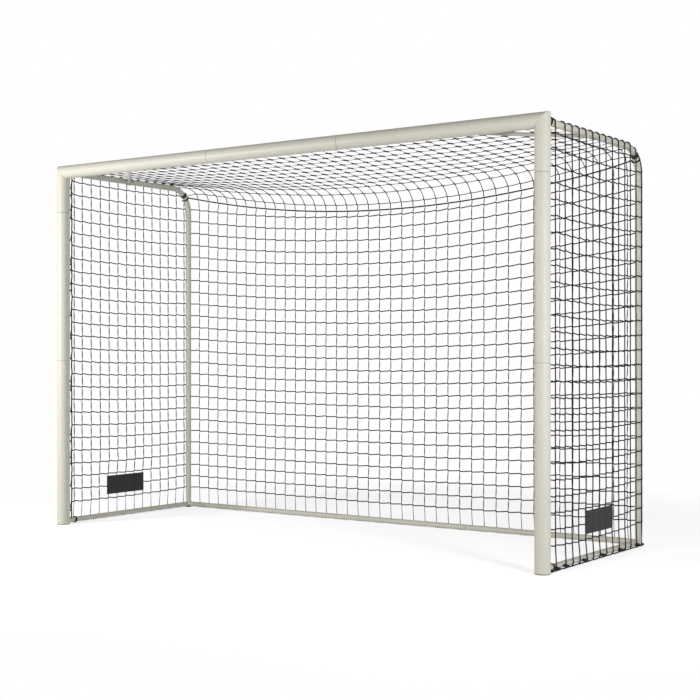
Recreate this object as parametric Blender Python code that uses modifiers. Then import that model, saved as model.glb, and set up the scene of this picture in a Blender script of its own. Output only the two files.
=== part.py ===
"""A free-standing soccer goal: a sectional tube frame, snap-button joints and a knotted net.

Metres, +Z up, X along the crossbar, the mouth facing -Y, the origin on the ground under the
middle of the goal's box. Left is the -X side.
"""

import math

import bmesh
import bpy
from mathutils import Matrix, Vector

# Overall sizes
WIDTH = 3.0                 # over the posts' outer faces
HEIGHT = 1.975              # ground to the top of the crossbar
UPRIGHT_SETBACK = 1.0635    # front of the posts to the axis of the rear uprights

# Tubes
POST_D = 0.070              # posts and crossbar
POST_WALL = 0.002
SIDE_D = 0.032              # bent side frames
SIDE_WALL = 0.0015
BEND_RADIUS = 0.140         # at the tube's axis
RAIL_D = 0.028              # rails along the ground
RAIL_WALL = 0.0015
RAIL_CLEARANCE = 0.0055     # ground to the underside of the rails
BRACE_D = 0.018             # diagonals under the top net
BRACE_WALL = 0.0012

# Where the tubes are cut into sections
UPPER_SEAM_Z = 1.716
LOWER_SEAM_Z = 0.902
BAR_SEAM_X = 0.402          # either side of the crossbar's middle
REAR_SEAM_X = 0.500         # either side of the rear rail's middle

# What joins the sections
SLEEVE_LENGTH = 0.160
SLEEVE_WALL = 0.002
RAIL_SLEEVE_LENGTH = 0.120
STUB_LENGTH = 0.080         # from the post's back into a side tube or a ground rail
BUTTON_D = 0.0084
BUTTON_HOLE_D = 0.0092
BUTTON_FLANGE_D = 0.012
BUTTON_FLANGE_H = 0.0015
BUTTON_PROUD = 0.003        # above the tube
BUTTON_OFFSET = 0.040       # from the seam
BUTTON_CROWN = 0.6          # share of the button's radius under its crown
BUTTON_CHAMFER = 0.0008
LEAF_WIDTH = 0.010
LEAF_T = 0.0008
LEAF_SEAT = 0.010           # flat half length under the button and on the far wall
LEAF_REACH = 0.055          # from the button to the nose of the leaf
LEAF_NOSE = 0.0055          # radius of the nose, about

# Rear corners, braces and small parts
CORNER_LEG = 0.060          # corner's centre to the end of a rail
CORNER_SPIGOT = 0.055       # how far a spigot reaches into its tube
CORNER_BASE = 0.0005        # the collar stops this much above the legs' undersides
BRACE_REACH = 0.510         # along the crossbar and along the side tube
BRACE_DROP = 0.003          # below the axis of the crossbar
SADDLE_LENGTH = 0.044
SADDLE_T = 0.002
SADDLE_HALF_ANGLE = math.radians(112)
SADDLE_STEPS = 12
SADDLE_SPIGOT = 0.045
BOLT_D = 0.0056
BOLT_HOLE_D = 0.0064
BOLT_HEAD_D = 0.010
BOLT_HEAD_H = 0.003
BOLT_CHAMFER = 0.0008
BOLT_LENGTH = 0.007
SIDE_BOLT_SETBACK = 0.040   # from the back of the corner
PLUG_FLANGE_H = 0.004
PLUG_DEPTH = 0.030
PLUG_EDGE = 0.0012
REAR_FOOT_D = 0.034

# Net, rope and label patches
STRAND = 0.004
NET_HEM_Z = 0.008
SIDE_NET_GAPS = (5, 9)
REAR_NET_GAPS = (14, 9)
TOP_NET_GAPS = (14, 6)
SIDE_NET_TOP = 0.0125       # above the axis of the side tube
TOP_SAG = 0.106
TOP_SAG_POWER = 1.15
LACING_RISE = 0.0105        # the top net's front edge, above the axis of the crossbar
SHOULDER_SETBACK = 0.0635   # the top net's shoulder, ahead of the upright's axis
ROPE_D = 0.005
ROPE_SAG = 0.1566
ROPE_ANGLE = math.radians(37)   # where the rope leaves the bend, above its level radius
ROPE_POINTS = 33
ROPE_TURN_IN = 0.85         # share of the half width where the rope turns in to the bend
PATCH_SIZE = (0.300, 0.106)
PATCH_T = 0.001
PATCH_SETBACK = {-1: 0.539, 1: 0.5625}
PATCH_Z = {-1: 0.186, 1: 0.1826}

# Clearances and facets
GAP = 0.0003                # between faces that touch
POST_SIDES = 24
SIDE_SIDES = 16
SMALL_SIDES = 12
BEND_STEPS = 7
CHORD_MARGIN = 0.0009       # the rear net's straight edge pieces stay under the curved rope

# Places worked out from the sizes above
POST_R = POST_D / 2
SIDE_R = SIDE_D / 2
RAIL_R = RAIL_D / 2
DEPTH = UPRIGHT_SETBACK + SIDE_R + GAP + ROPE_D
FRONT_Y = -DEPTH / 2
POST_X = WIDTH / 2 - POST_R
POST_Y = FRONT_Y + POST_R
BAR_Z = HEIGHT - POST_R
UPRIGHT_Y = FRONT_Y + UPRIGHT_SETBACK
BEND_Y = UPRIGHT_Y - BEND_RADIUS
BEND_Z = BAR_Z - BEND_RADIUS
RAIL_Z = RAIL_CLEARANCE + RAIL_R
COLLAR_TOP = RAIL_Z + RAIL_R + CORNER_BASE
NET_X = POST_X + SIDE_R + GAP + STRAND / 2
NAMES = {-1: "left", 1: "right"}


def bore_flat(radius, wall, sides):
    """Distance from a tube's axis to the flats of its bore."""
    return radius * math.cos(math.pi / sides) - wall


SLEEVE_R = bore_flat(POST_R, POST_WALL, POST_SIDES) - GAP
SLEEVE_BORE = bore_flat(SLEEVE_R, SLEEVE_WALL, POST_SIDES)
SIDE_STUB_R = bore_flat(SIDE_R, SIDE_WALL, SIDE_SIDES) - GAP
RAIL_STUB_R = bore_flat(RAIL_R, RAIL_WALL, SIDE_SIDES) - GAP
BRACE_SPIGOT_R = bore_flat(BRACE_D / 2, BRACE_WALL, SMALL_SIDES) - GAP
FLANGE_TOP = math.sqrt(SLEEVE_BORE ** 2 - (BUTTON_FLANGE_D / 2) ** 2) - GAP


# Scene, groups and materials

def clear_scene():
    for item in list(bpy.data.objects):
        bpy.data.objects.remove(item, do_unlink=True)


def new_group(name):
    group = bpy.data.collections.new(name)
    bpy.context.scene.collection.children.link(group)
    return group


def new_material(name, color, roughness, metallic=0.0):
    material = bpy.data.materials.new(name)
    material.use_nodes = True
    shader = material.node_tree.nodes["Principled BSDF"]
    shader.inputs["Base Color"].default_value = (*color, 1.0)
    shader.inputs["Roughness"].default_value = roughness
    shader.inputs["Metallic"].default_value = metallic
    material.diffuse_color = (*color, 1.0)
    return material


clear_scene()
PARTS = new_group("soccer_goal")
CUTTERS = new_group("cutters")
PAINT = new_material("frame_paint", (0.62, 0.59, 0.50), 0.45)
ZINC = new_material("zinc_steel", (0.55, 0.56, 0.58), 0.35, 1.0)
SPRING_STEEL = new_material("spring_steel", (0.35, 0.35, 0.37), 0.3, 1.0)
BLACK_PLASTIC = new_material("black_plastic", (0.03, 0.03, 0.03), 0.6)
NET_CORD = new_material("net_cord", (0.015, 0.015, 0.016), 0.85)
PATCH_CLOTH = new_material("patch_cloth", (0.03, 0.034, 0.04), 0.7)


# Making objects

def add_object(name, bm, material=None):
    """A mesh object in the goal's group, or a hidden cutter where it has no material."""
    bmesh.ops.recalc_face_normals(bm, faces=bm.faces)
    mesh = bpy.data.meshes.new(name)
    bm.to_mesh(mesh)
    bm.free()
    item = bpy.data.objects.new(name, mesh)
    if material is None:
        item.hide_render = True
        item.display_type = "WIRE"
        CUTTERS.objects.link(item)
        return item
    mesh.materials.append(material)
    if mesh.polygons:
        mesh.shade_smooth()
        mesh.set_sharp_from_angle(angle=math.radians(40))
    PARTS.objects.link(item)
    return item


def solidify(item, wall, centred=False):
    """Give an open shell its wall, on the inside of the surface or half on each side."""
    modifier = item.modifiers.new("wall", "SOLIDIFY")
    modifier.thickness = wall
    modifier.offset = 0.0 if centred else -1.0
    modifier.use_even_offset = True


def boolean(item, other, operation):
    modifier = item.modifiers.new(operation.lower(), "BOOLEAN")
    modifier.operation = operation
    modifier.object = other


def along(start, end):
    """The matrix that lays a primitive made about Z between two points."""
    start, end = Vector(start), Vector(end)
    turn = (end - start).to_track_quat("Z", "Y").to_matrix().to_4x4()
    return Matrix.Translation((start + end) / 2) @ turn


def cylinder(name, start, end, radius, sides, material=None, closed=True):
    bm = bmesh.new()
    bmesh.ops.create_cone(
        bm,
        cap_ends=closed,
        segments=sides,
        radius1=radius,
        radius2=radius,
        depth=(Vector(end) - Vector(start)).length,
        matrix=along(start, end),
    )
    return add_object(name, bm, material)


def tube(name, start, end, radius, wall, sides, material):
    item = cylinder(name, start, end, radius, sides, material, closed=False)
    solidify(item, wall)
    return item


def turned(name, profile, sides, material, place):
    """A solid of revolution: its half profile at +X runs from top to bottom."""
    bm = bmesh.new()
    verts = [bm.verts.new((x, 0.0, z)) for x, z in profile]
    for upper, lower in zip(verts, verts[1:]):
        bm.edges.new((upper, lower))
    item = add_object(name, bm, material)
    screw = item.modifiers.new("turn", "SCREW")
    screw.steps = sides
    screw.render_steps = sides
    screw.use_merge_vertices = True
    screw.merge_threshold = 0.00001
    item.matrix_world = place
    return item


def extend_ring(bm, edges, move):
    """Extrude a ring of edges and put each new corner where move(corner) says."""
    made = bmesh.ops.extrude_edge_only(bm, edges=edges)["geom"]
    for vert in made:
        if isinstance(vert, bmesh.types.BMVert):
            vert.co = move(vert.co.copy())
    return [edge for edge in made if isinstance(edge, bmesh.types.BMEdge)]


def strip(name, points, across, thickness, material):
    """A bent metal strip: a line of points drawn out sideways and given its thickness."""
    bm = bmesh.new()
    half = Vector(across) / 2
    verts = [bm.verts.new(Vector(point) - half) for point in points]
    edges = [bm.edges.new(pair) for pair in zip(verts, verts[1:])]
    extend_ring(bm, edges, lambda corner: corner + 2 * half)
    item = add_object(name, bm, material)
    solidify(item, thickness, centred=True)
    return item


def net(name, gaps, place):
    """A square mesh of cords: place(u, v) puts each crossing, u and v from 0 to 1."""
    bm = bmesh.new()
    bmesh.ops.create_grid(bm, x_segments=gaps[0], y_segments=gaps[1], size=0.5)
    for vert in bm.verts:
        vert.co = place(vert.co.x + 0.5, vert.co.y + 0.5)
    item = add_object(name, bm, NET_CORD)
    wire = item.modifiers.new("cords", "WIREFRAME")
    wire.thickness = STRAND
    wire.offset = 0.0
    wire.use_even_offset = True
    wire.use_boundary = True
    wire.use_relative_offset = False
    return item


# Front frame

def corner_ring(bm, side, radius):
    """The bent shell of a mitred corner, from the crossbar's seam to the upper seam."""
    start = Matrix.Translation((side * (BAR_SEAM_X + GAP / 2), POST_Y, BAR_Z))
    made = bmesh.ops.create_circle(
        bm,
        segments=POST_SIDES,
        radius=radius,
        matrix=start @ Matrix.Rotation(math.pi / 2, 4, "Y"),
    )
    edges = list({edge for vert in made["verts"] for edge in vert.link_edges})
    edges = extend_ring(
        bm, edges, lambda p: Vector((side * (POST_X + p.z - BAR_Z), p.y, p.z))
    )
    extend_ring(bm, edges, lambda p: Vector((p.x, p.y, UPPER_SEAM_Z + GAP / 2)))


def front_corner(side):
    bm = bmesh.new()
    corner_ring(bm, side, POST_R)
    item = add_object(f"corner_{NAMES[side]}", bm, PAINT)
    solidify(item, POST_WALL)
    return item


def corner_clearance(side):
    """A closed copy of the corner, one gap larger, that shapes the end of a side tube."""
    bm = bmesh.new()
    corner_ring(bm, side, POST_R + GAP)
    bmesh.ops.holes_fill(bm, edges=bm.edges, sides=POST_SIDES)
    return add_object(f"corner_clearance_{NAMES[side]}", bm)


def post_section(name, side, bottom, top):
    return tube(
        f"{name}_{NAMES[side]}",
        (side * POST_X, POST_Y, bottom),
        (side * POST_X, POST_Y, top),
        POST_R, POST_WALL, POST_SIDES, PAINT,
    )


def foot_plug(side):
    """The plug that closes a post: it carries the post on a flange with a rounded edge."""
    plug_r = bore_flat(POST_R, POST_WALL, POST_SIDES) - GAP
    top = PLUG_FLANGE_H + PLUG_DEPTH
    profile = [
        (0.0, top),
        (plug_r - PLUG_EDGE, top),
        (plug_r, top - PLUG_EDGE),
        (plug_r, PLUG_FLANGE_H),
        (POST_R, PLUG_FLANGE_H),
        (POST_R, PLUG_EDGE),
        (POST_R - PLUG_EDGE, 0.0),
        (0.0, 0.0),
    ]
    place = Matrix.Translation((side * POST_X, POST_Y, 0.0))
    turned(f"foot_plug_{NAMES[side]}", profile, POST_SIDES, BLACK_PLASTIC, place)


# Joints between sections

def snap_joint(name, seam, direction, locked):
    """A sleeve across a seam, its button and leaf spring. The button locks one section.

    seam is the point on the axis, direction points along the axis into the locked section.
    """
    seam, direction = Vector(seam), Vector(direction)
    back = Vector((0.0, 1.0, 0.0))
    half = direction * SLEEVE_LENGTH / 2
    sleeve = tube(
        f"joint_sleeve_{name}", seam - half, seam + half,
        SLEEVE_R, SLEEVE_WALL, POST_SIDES, ZINC,
    )
    spot = seam + direction * BUTTON_OFFSET
    hole = cylinder(
        f"button_hole_{name}", spot + back * SLEEVE_BORE / 2, spot + back * POST_D,
        BUTTON_HOLE_D / 2, SMALL_SIDES,
    )
    boolean(sleeve, hole, "DIFFERENCE")
    boolean(locked, hole, "DIFFERENCE")

    top = POST_R + BUTTON_PROUD
    radius = BUTTON_D / 2
    flange_bottom = FLANGE_TOP - BUTTON_FLANGE_H
    profile = [
        (0.0, top),
        (radius * BUTTON_CROWN, top - BUTTON_CHAMFER / 4),
        (radius, top - BUTTON_CHAMFER),
        (radius, FLANGE_TOP),
        (BUTTON_FLANGE_D / 2, FLANGE_TOP),
        (BUTTON_FLANGE_D / 2, flange_bottom),
        (0.0, flange_bottom),
    ]
    turn = back.to_track_quat("Z", "Y").to_matrix().to_4x4()
    turned(
        f"snap_button_{name}", profile, SMALL_SIDES, ZINC,
        Matrix.Translation(spot) @ turn,
    )

    near = flange_bottom - GAP - LEAF_T / 2
    far = LEAF_T / 2 + GAP - math.sqrt(SLEEVE_BORE ** 2 - (LEAF_WIDTH / 2) ** 2)
    nose = (near + far) / 2
    outline = [
        (LEAF_SEAT, near),
        (-LEAF_SEAT, near),
        (LEAF_NOSE - LEAF_REACH, nose + LEAF_NOSE),
        (-LEAF_REACH, nose),
        (LEAF_NOSE - LEAF_REACH, nose - LEAF_NOSE),
        (-LEAF_SEAT, far),
        (LEAF_SEAT, far),
    ]
    points = [spot + direction * step + back * height for step, height in outline]
    across = direction.cross(back) * LEAF_WIDTH
    strip(f"leaf_spring_{name}", points, across, LEAF_T, SPRING_STEEL)


# Side frames, rails and braces

def bend_point(angle, radius):
    """A point of the bend, its angle measured up from the level radius to the rear."""
    return BEND_Y + radius * math.cos(angle), BEND_Z + radius * math.sin(angle)


def side_frame(side, clearance):
    """One bent tube: the top tube from the corner to the bend, then the rear upright."""
    x = side * POST_X
    points = [(x, POST_Y, BAR_Z)]
    for step in range(BEND_STEPS + 1):
        y, z = bend_point(math.pi / 2 * (1 - step / BEND_STEPS), BEND_RADIUS)
        points.append((x, y, z))
    points.append((x, UPRIGHT_Y, COLLAR_TOP + GAP))

    curve = bpy.data.curves.new("side_path", "CURVE")
    curve.dimensions = "3D"
    curve.bevel_depth = SIDE_R
    curve.bevel_resolution = SIDE_SIDES // 2 - 2
    spline = curve.splines.new("POLY")
    spline.points.add(len(points) - 1)
    for point, place in zip(spline.points, points):
        point.co = (*place, 1.0)
    drawn = bpy.data.objects.new("side_path", curve)
    PARTS.objects.link(drawn)
    view = bpy.context.evaluated_depsgraph_get()
    bm = bmesh.new()
    bm.from_mesh(bpy.data.meshes.new_from_object(drawn.evaluated_get(view)))
    bmesh.ops.remove_doubles(bm, verts=bm.verts, dist=0.00001)
    bpy.data.objects.remove(drawn, do_unlink=True)
    item = add_object(f"side_frame_{NAMES[side]}", bm, PAINT)
    solidify(item, SIDE_WALL)
    boolean(item, clearance, "DIFFERENCE")
    return item


def post_stub(name, side, height, radius, wall, clearance):
    """A stub on the back of a post or corner that a tube slides over."""
    item = tube(
        f"{name}_{NAMES[side]}",
        (side * POST_X, POST_Y, height),
        (side * POST_X, POST_Y + POST_R + STUB_LENGTH, height),
        radius, wall, SIDE_SIDES, PAINT,
    )
    boolean(item, clearance, "DIFFERENCE")
    return item


def bolt(name, seat, inward, targets):
    """A bolt whose head bears at seat and whose shank runs inward through its targets."""
    seat, inward = Vector(seat), Vector(inward)
    profile = [
        (0.0, BOLT_HEAD_H),
        (BOLT_HEAD_D / 2 - BOLT_CHAMFER, BOLT_HEAD_H),
        (BOLT_HEAD_D / 2, BOLT_HEAD_H - BOLT_CHAMFER),
        (BOLT_HEAD_D / 2, 0.0),
        (BOLT_D / 2, 0.0),
        (BOLT_D / 2, -BOLT_LENGTH),
        (0.0, -BOLT_LENGTH),
    ]
    turn = (-inward).to_track_quat("Z", "Y").to_matrix().to_4x4()
    turned(name, profile, SMALL_SIDES, ZINC, Matrix.Translation(seat) @ turn)
    hole = cylinder(
        f"{name}_hole", seat - inward * BOLT_HEAD_H, seat + inward * (BOLT_LENGTH + GAP),
        BOLT_HOLE_D / 2, SMALL_SIDES,
    )
    for target in targets:
        boolean(target, hole, "DIFFERENCE")


def ground_rail(side, clearance):
    item = tube(
        f"ground_rail_{NAMES[side]}",
        (side * POST_X, POST_Y, RAIL_Z),
        (side * POST_X, UPRIGHT_Y - CORNER_LEG - GAP, RAIL_Z),
        RAIL_R, RAIL_WALL, SIDE_SIDES, PAINT,
    )
    boolean(item, clearance, "DIFFERENCE")


def rear_rail(name, start, end):
    tube(
        name, (start, UPRIGHT_Y, RAIL_Z), (end, UPRIGHT_Y, RAIL_Z),
        RAIL_R, RAIL_WALL, SIDE_SIDES, PAINT,
    )


def rear_corner(side):
    """The piece that the upright, a side rail and the rear rail slide onto."""
    centre = Vector((side * POST_X, UPRIGHT_Y, RAIL_Z))
    name = NAMES[side]
    item = cylinder(
        f"rear_corner_{name}",
        (centre.x, centre.y, RAIL_CLEARANCE + CORNER_BASE),
        (centre.x, centre.y, COLLAR_TOP),
        SIDE_R, SIDE_SIDES, PAINT,
    )
    spigot = cylinder(
        f"upright_spigot_{name}", centre,
        (centre.x, centre.y, COLLAR_TOP + CORNER_SPIGOT),
        SIDE_STUB_R, SIDE_SIDES,
    )
    boolean(item, spigot, "UNION")
    for label, heading in (("side", Vector((0, -1, 0))), ("rear", Vector((-side, 0, 0)))):
        leg = cylinder(
            f"{label}_leg_{name}", centre, centre + heading * CORNER_LEG,
            RAIL_R, SIDE_SIDES,
        )
        boolean(item, leg, "UNION")
        spigot = cylinder(
            f"{label}_spigot_{name}", centre, centre + heading * (CORNER_LEG + CORNER_SPIGOT),
            RAIL_STUB_R, SIDE_SIDES,
        )
        boolean(item, spigot, "UNION")
    cylinder(
        f"rear_foot_{name}",
        (centre.x, centre.y, 0.0),
        (centre.x, centre.y, RAIL_CLEARANCE - GAP),
        REAR_FOOT_D / 2, SIDE_SIDES, BLACK_PLASTIC,
    )


def brace(side, frame):
    """A diagonal from the crossbar to a saddle that is bolted under the side tube."""
    name = NAMES[side]
    z = BAR_Z - BRACE_DROP
    start = Vector((side * (POST_X - BRACE_REACH), POST_Y, z))
    end = Vector((side * POST_X, POST_Y + BRACE_REACH, z))
    heading = (end - start).normalized()
    step_angle = 2 * SADDLE_HALF_ANGLE / SADDLE_STEPS
    saddle_r = (SIDE_R + GAP) / math.cos(step_angle / 2) + SADDLE_T / 2
    saddle_outer = saddle_r + SADDLE_T / 2

    item = tube(
        f"brace_{name}", start, end, BRACE_D / 2, BRACE_WALL, SMALL_SIDES, PAINT
    )
    bar_side = cylinder(
        f"brace_bar_clearance_{name}",
        (start.x - side * POST_D, POST_Y, BAR_Z), (start.x + side * POST_D * 2, POST_Y, BAR_Z),
        POST_R + GAP, POST_SIDES,
    )
    boolean(item, bar_side, "DIFFERENCE")
    frame_side = cylinder(
        f"brace_saddle_clearance_{name}",
        (end.x, end.y - SADDLE_LENGTH, BAR_Z), (end.x, end.y + SADDLE_LENGTH, BAR_Z),
        saddle_outer + GAP, POST_SIDES,
    )
    boolean(item, frame_side, "DIFFERENCE")

    arc = []
    for step in range(SADDLE_STEPS + 1):
        angle = step * step_angle - SADDLE_HALF_ANGLE
        arc.append((
            end.x - side * saddle_r * math.cos(angle),
            end.y,
            BAR_Z + saddle_r * math.sin(angle),
        ))
    across = Vector((0.0, SADDLE_LENGTH, 0.0))
    saddle = strip(f"brace_saddle_{name}", arc, across, SADDLE_T, ZINC)
    spigot = cylinder(
        f"saddle_spigot_{name}", end - heading * SIDE_R,
        end - heading * (saddle_outer * math.sqrt(2) + SADDLE_SPIGOT),
        BRACE_SPIGOT_R, SMALL_SIDES,
    )
    boolean(saddle, spigot, "UNION")
    side_clear = cylinder(
        f"saddle_tube_clearance_{name}",
        (end.x, end.y - SADDLE_LENGTH, BAR_Z), (end.x, end.y + SADDLE_LENGTH, BAR_Z),
        SIDE_R + GAP, SIDE_SIDES,
    )
    boolean(saddle, side_clear, "DIFFERENCE")
    bolt(
        f"brace_bolt_{name}", (end.x, end.y, BAR_Z - saddle_outer - GAP), (0, 0, 1),
        (saddle, frame),
    )


# Rope, net and label patches

def rope_height(x):
    """The rope hangs between the bends in a shallow arc."""
    y, z = bend_point(ROPE_ANGLE, BEND_RADIUS + SIDE_R + GAP + ROPE_D / 2)
    return z - ROPE_SAG * (1 - (x / POST_X) ** 2)


def rear_y(x, z, stand_off):
    """Where a cord lies behind the uprights, and how it turns in to lie on the bends."""
    flat = UPRIGHT_Y + SIDE_R + GAP + stand_off
    rise = max(z - BEND_Z, 0.0)
    reach = BEND_RADIUS + SIDE_R + GAP + stand_off
    curved = BEND_Y + math.sqrt(reach ** 2 - rise ** 2)
    share = (abs(x) / POST_X - ROPE_TURN_IN) / (1 - ROPE_TURN_IN)
    share = min(max(share, 0.0), 1.0)
    return flat + (curved - flat) * share * share * (3 - 2 * share)


def tension_rope():
    curve = bpy.data.curves.new("tension_rope", "CURVE")
    curve.dimensions = "3D"
    curve.bevel_depth = ROPE_D / 2
    curve.bevel_resolution = 2
    curve.use_fill_caps = True
    spline = curve.splines.new("POLY")
    spline.points.add(ROPE_POINTS - 1)
    for index, point in enumerate(spline.points):
        x = POST_X * (2 * index / (ROPE_POINTS - 1) - 1)
        z = rope_height(x)
        point.co = (x, rear_y(x, z, ROPE_D / 2), z, 1.0)
    curve.materials.append(NET_CORD)
    PARTS.objects.link(bpy.data.objects.new("tension_rope", curve))


def rear_net_point(x, v):
    """A crossing of the rear net: v runs from the hem to just under the rope."""
    below_rope = ROPE_D / 2 + STRAND / 2 + GAP + CHORD_MARGIN
    top = rope_height(min(abs(x), POST_X)) - below_rope
    z = NET_HEM_Z + v * (top - NET_HEM_Z)
    return Vector((x, rear_y(x, z, STRAND / 2), z))


def rear_net():
    net("net_rear", REAR_NET_GAPS, lambda u, v: rear_net_point((2 * u - 1) * NET_X, v))


def side_net(side):
    """It lies on the side frame's outer face, and its rear edge follows the rear net's."""
    front = POST_Y + math.sqrt((POST_R + STRAND / 2 + GAP) ** 2 - (NET_X - POST_X) ** 2)
    ahead = Vector((0.0, -STRAND - GAP, 0.0))
    rear = rear_net_point(side * NET_X, 0.0).y + ahead.y

    def place(u, v):
        if u > 1 - 0.5 / SIDE_NET_GAPS[0]:
            return rear_net_point(side * NET_X, v) + ahead
        y = front + u * (rear - front)
        arch = math.sqrt(BEND_RADIUS ** 2 - max(y - BEND_Y, 0.0) ** 2)
        top = BEND_Z + arch + SIDE_NET_TOP
        return Vector((side * NET_X, y, NET_HEM_Z + v * (top - NET_HEM_Z)))

    net(f"net_side_{NAMES[side]}", SIDE_NET_GAPS, place)


def top_net():
    """Laced to the back of the crossbar, it sags between the side tubes down to the rope."""
    edge_x = POST_X - SIDE_R - GAP - STRAND / 2
    lacing_y = POST_Y + math.sqrt((POST_R + STRAND / 2 + GAP) ** 2 - LACING_RISE ** 2)
    shoulder_y = UPRIGHT_Y - SHOULDER_SETBACK
    rows = TOP_NET_GAPS[1]
    rim_r = BEND_RADIUS + SIDE_R + GAP + STRAND / 2

    def place(u, v):
        x = (2 * u - 1) * edge_x
        row = round(v * rows)
        if row == 0:
            return Vector((x, lacing_y, BAR_Z + LACING_RISE))
        if row == rows:
            z = rope_height(x) + ROPE_D / 2 + STRAND / 2 + GAP
            return Vector((x, rear_y(x, z, STRAND / 2), z))
        share = row / (rows - 1)
        y = lacing_y + share * (shoulder_y - lacing_y)
        rim = BEND_Z + math.sqrt(rim_r ** 2 - max(y - BEND_Y, 0.0) ** 2)
        drop = TOP_SAG * share ** TOP_SAG_POWER * (1 - (x / POST_X) ** 2)
        return Vector((x, y, rim - drop))

    net("net_top", TOP_NET_GAPS, place)


def label_patch(side):
    """A bare cloth patch that lies against the outside of a side net."""
    inner = NET_X + STRAND / 2 + GAP
    bm = bmesh.new()
    size = Matrix.Diagonal((PATCH_T, PATCH_SIZE[0], PATCH_SIZE[1], 1.0))
    centre = Vector((
        side * (inner + PATCH_T / 2), FRONT_Y + PATCH_SETBACK[side], PATCH_Z[side],
    ))
    bmesh.ops.create_cube(bm, size=1.0, matrix=Matrix.Translation(centre) @ size)
    add_object(f"label_patch_{NAMES[side]}", bm, PATCH_CLOTH)


# The goal

tube(
    "crossbar_middle",
    (-BAR_SEAM_X + GAP / 2, POST_Y, BAR_Z), (BAR_SEAM_X - GAP / 2, POST_Y, BAR_Z),
    POST_R, POST_WALL, POST_SIDES, PAINT,
)
for hand in (-1, 1):
    hand_name = NAMES[hand]
    post_x = hand * POST_X
    corner = front_corner(hand)
    upper = post_section("post_upper", hand, LOWER_SEAM_Z + GAP / 2, UPPER_SEAM_Z - GAP / 2)
    post_section("post_lower", hand, PLUG_FLANGE_H + GAP, LOWER_SEAM_Z - GAP / 2)
    foot_plug(hand)
    snap_joint(
        f"crossbar_{hand_name}", (hand * BAR_SEAM_X, POST_Y, BAR_Z), (hand, 0, 0), corner
    )
    snap_joint(f"upper_{hand_name}", (post_x, POST_Y, UPPER_SEAM_Z), (0, 0, 1), corner)
    snap_joint(f"lower_{hand_name}", (post_x, POST_Y, LOWER_SEAM_Z), (0, 0, 1), upper)

    corner_room = corner_clearance(hand)
    post_room = cylinder(
        f"post_clearance_{hand_name}",
        (post_x, POST_Y, -POST_R), (post_x, POST_Y, POST_D * 2), POST_R + GAP, POST_SIDES,
    )
    bent = side_frame(hand, corner_room)
    stub = post_stub("side_stub", hand, BAR_Z, SIDE_STUB_R, SIDE_WALL, corner_room)
    post_stub("rail_stub", hand, RAIL_Z, RAIL_STUB_R, RAIL_WALL, post_room)
    bolt(
        f"side_bolt_{hand_name}",
        (post_x - hand * (SIDE_R + GAP), POST_Y + POST_R + SIDE_BOLT_SETBACK, BAR_Z),
        (hand, 0, 0), (bent, stub),
    )
    ground_rail(hand, post_room)
    rear_corner(hand)
    brace(hand, bent)
    side_net(hand)
    label_patch(hand)
    rear_rail(
        f"rear_rail_{hand_name}",
        hand * (REAR_SEAM_X + GAP / 2), hand * (POST_X - CORNER_LEG - GAP),
    )
    tube(
        f"rear_rail_sleeve_{hand_name}",
        (hand * REAR_SEAM_X - RAIL_SLEEVE_LENGTH / 2, UPRIGHT_Y, RAIL_Z),
        (hand * REAR_SEAM_X + RAIL_SLEEVE_LENGTH / 2, UPRIGHT_Y, RAIL_Z),
        RAIL_STUB_R, RAIL_WALL, SIDE_SIDES, ZINC,
    )
rear_rail("rear_rail_middle", -REAR_SEAM_X + GAP / 2, REAR_SEAM_X - GAP / 2)
tension_rope()
rear_net()
top_net()
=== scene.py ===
"""How the soccer goal looks: powder-coated tubes, a knotted net, cloth patches, light, camera.

Metres, +Z up, in the CAD part's frame: X along the crossbar, the mouth facing -Y.
"""

from math import atan2, cos, pi, radians, sin, sqrt, tau

import bmesh
import bpy
import numpy as np
from mathutils import Matrix, Vector


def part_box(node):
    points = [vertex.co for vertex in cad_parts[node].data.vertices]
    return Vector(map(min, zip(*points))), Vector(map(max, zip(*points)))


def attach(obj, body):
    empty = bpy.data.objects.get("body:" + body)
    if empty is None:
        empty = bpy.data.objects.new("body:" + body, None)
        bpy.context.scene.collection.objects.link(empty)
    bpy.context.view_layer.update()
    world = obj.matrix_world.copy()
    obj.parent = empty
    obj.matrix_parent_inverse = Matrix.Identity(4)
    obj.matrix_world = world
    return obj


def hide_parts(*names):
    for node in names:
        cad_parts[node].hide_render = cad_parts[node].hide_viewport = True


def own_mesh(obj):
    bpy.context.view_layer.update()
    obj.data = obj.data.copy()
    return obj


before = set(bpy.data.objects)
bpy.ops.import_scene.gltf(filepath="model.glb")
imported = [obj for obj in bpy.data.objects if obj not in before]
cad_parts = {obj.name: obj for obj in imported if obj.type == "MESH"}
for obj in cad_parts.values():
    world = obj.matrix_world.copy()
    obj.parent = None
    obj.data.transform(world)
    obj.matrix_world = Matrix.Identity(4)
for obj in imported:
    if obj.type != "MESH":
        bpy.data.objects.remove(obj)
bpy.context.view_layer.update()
RANDOM = np.random.default_rng(7)
SIDES = {"left": -1, "right": 1}
X_AXIS, Y_AXIS, Z_AXIS = (1.0, 0.0, 0.0), (0.0, 1.0, 0.0), (0.0, 0.0, 1.0)

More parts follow.
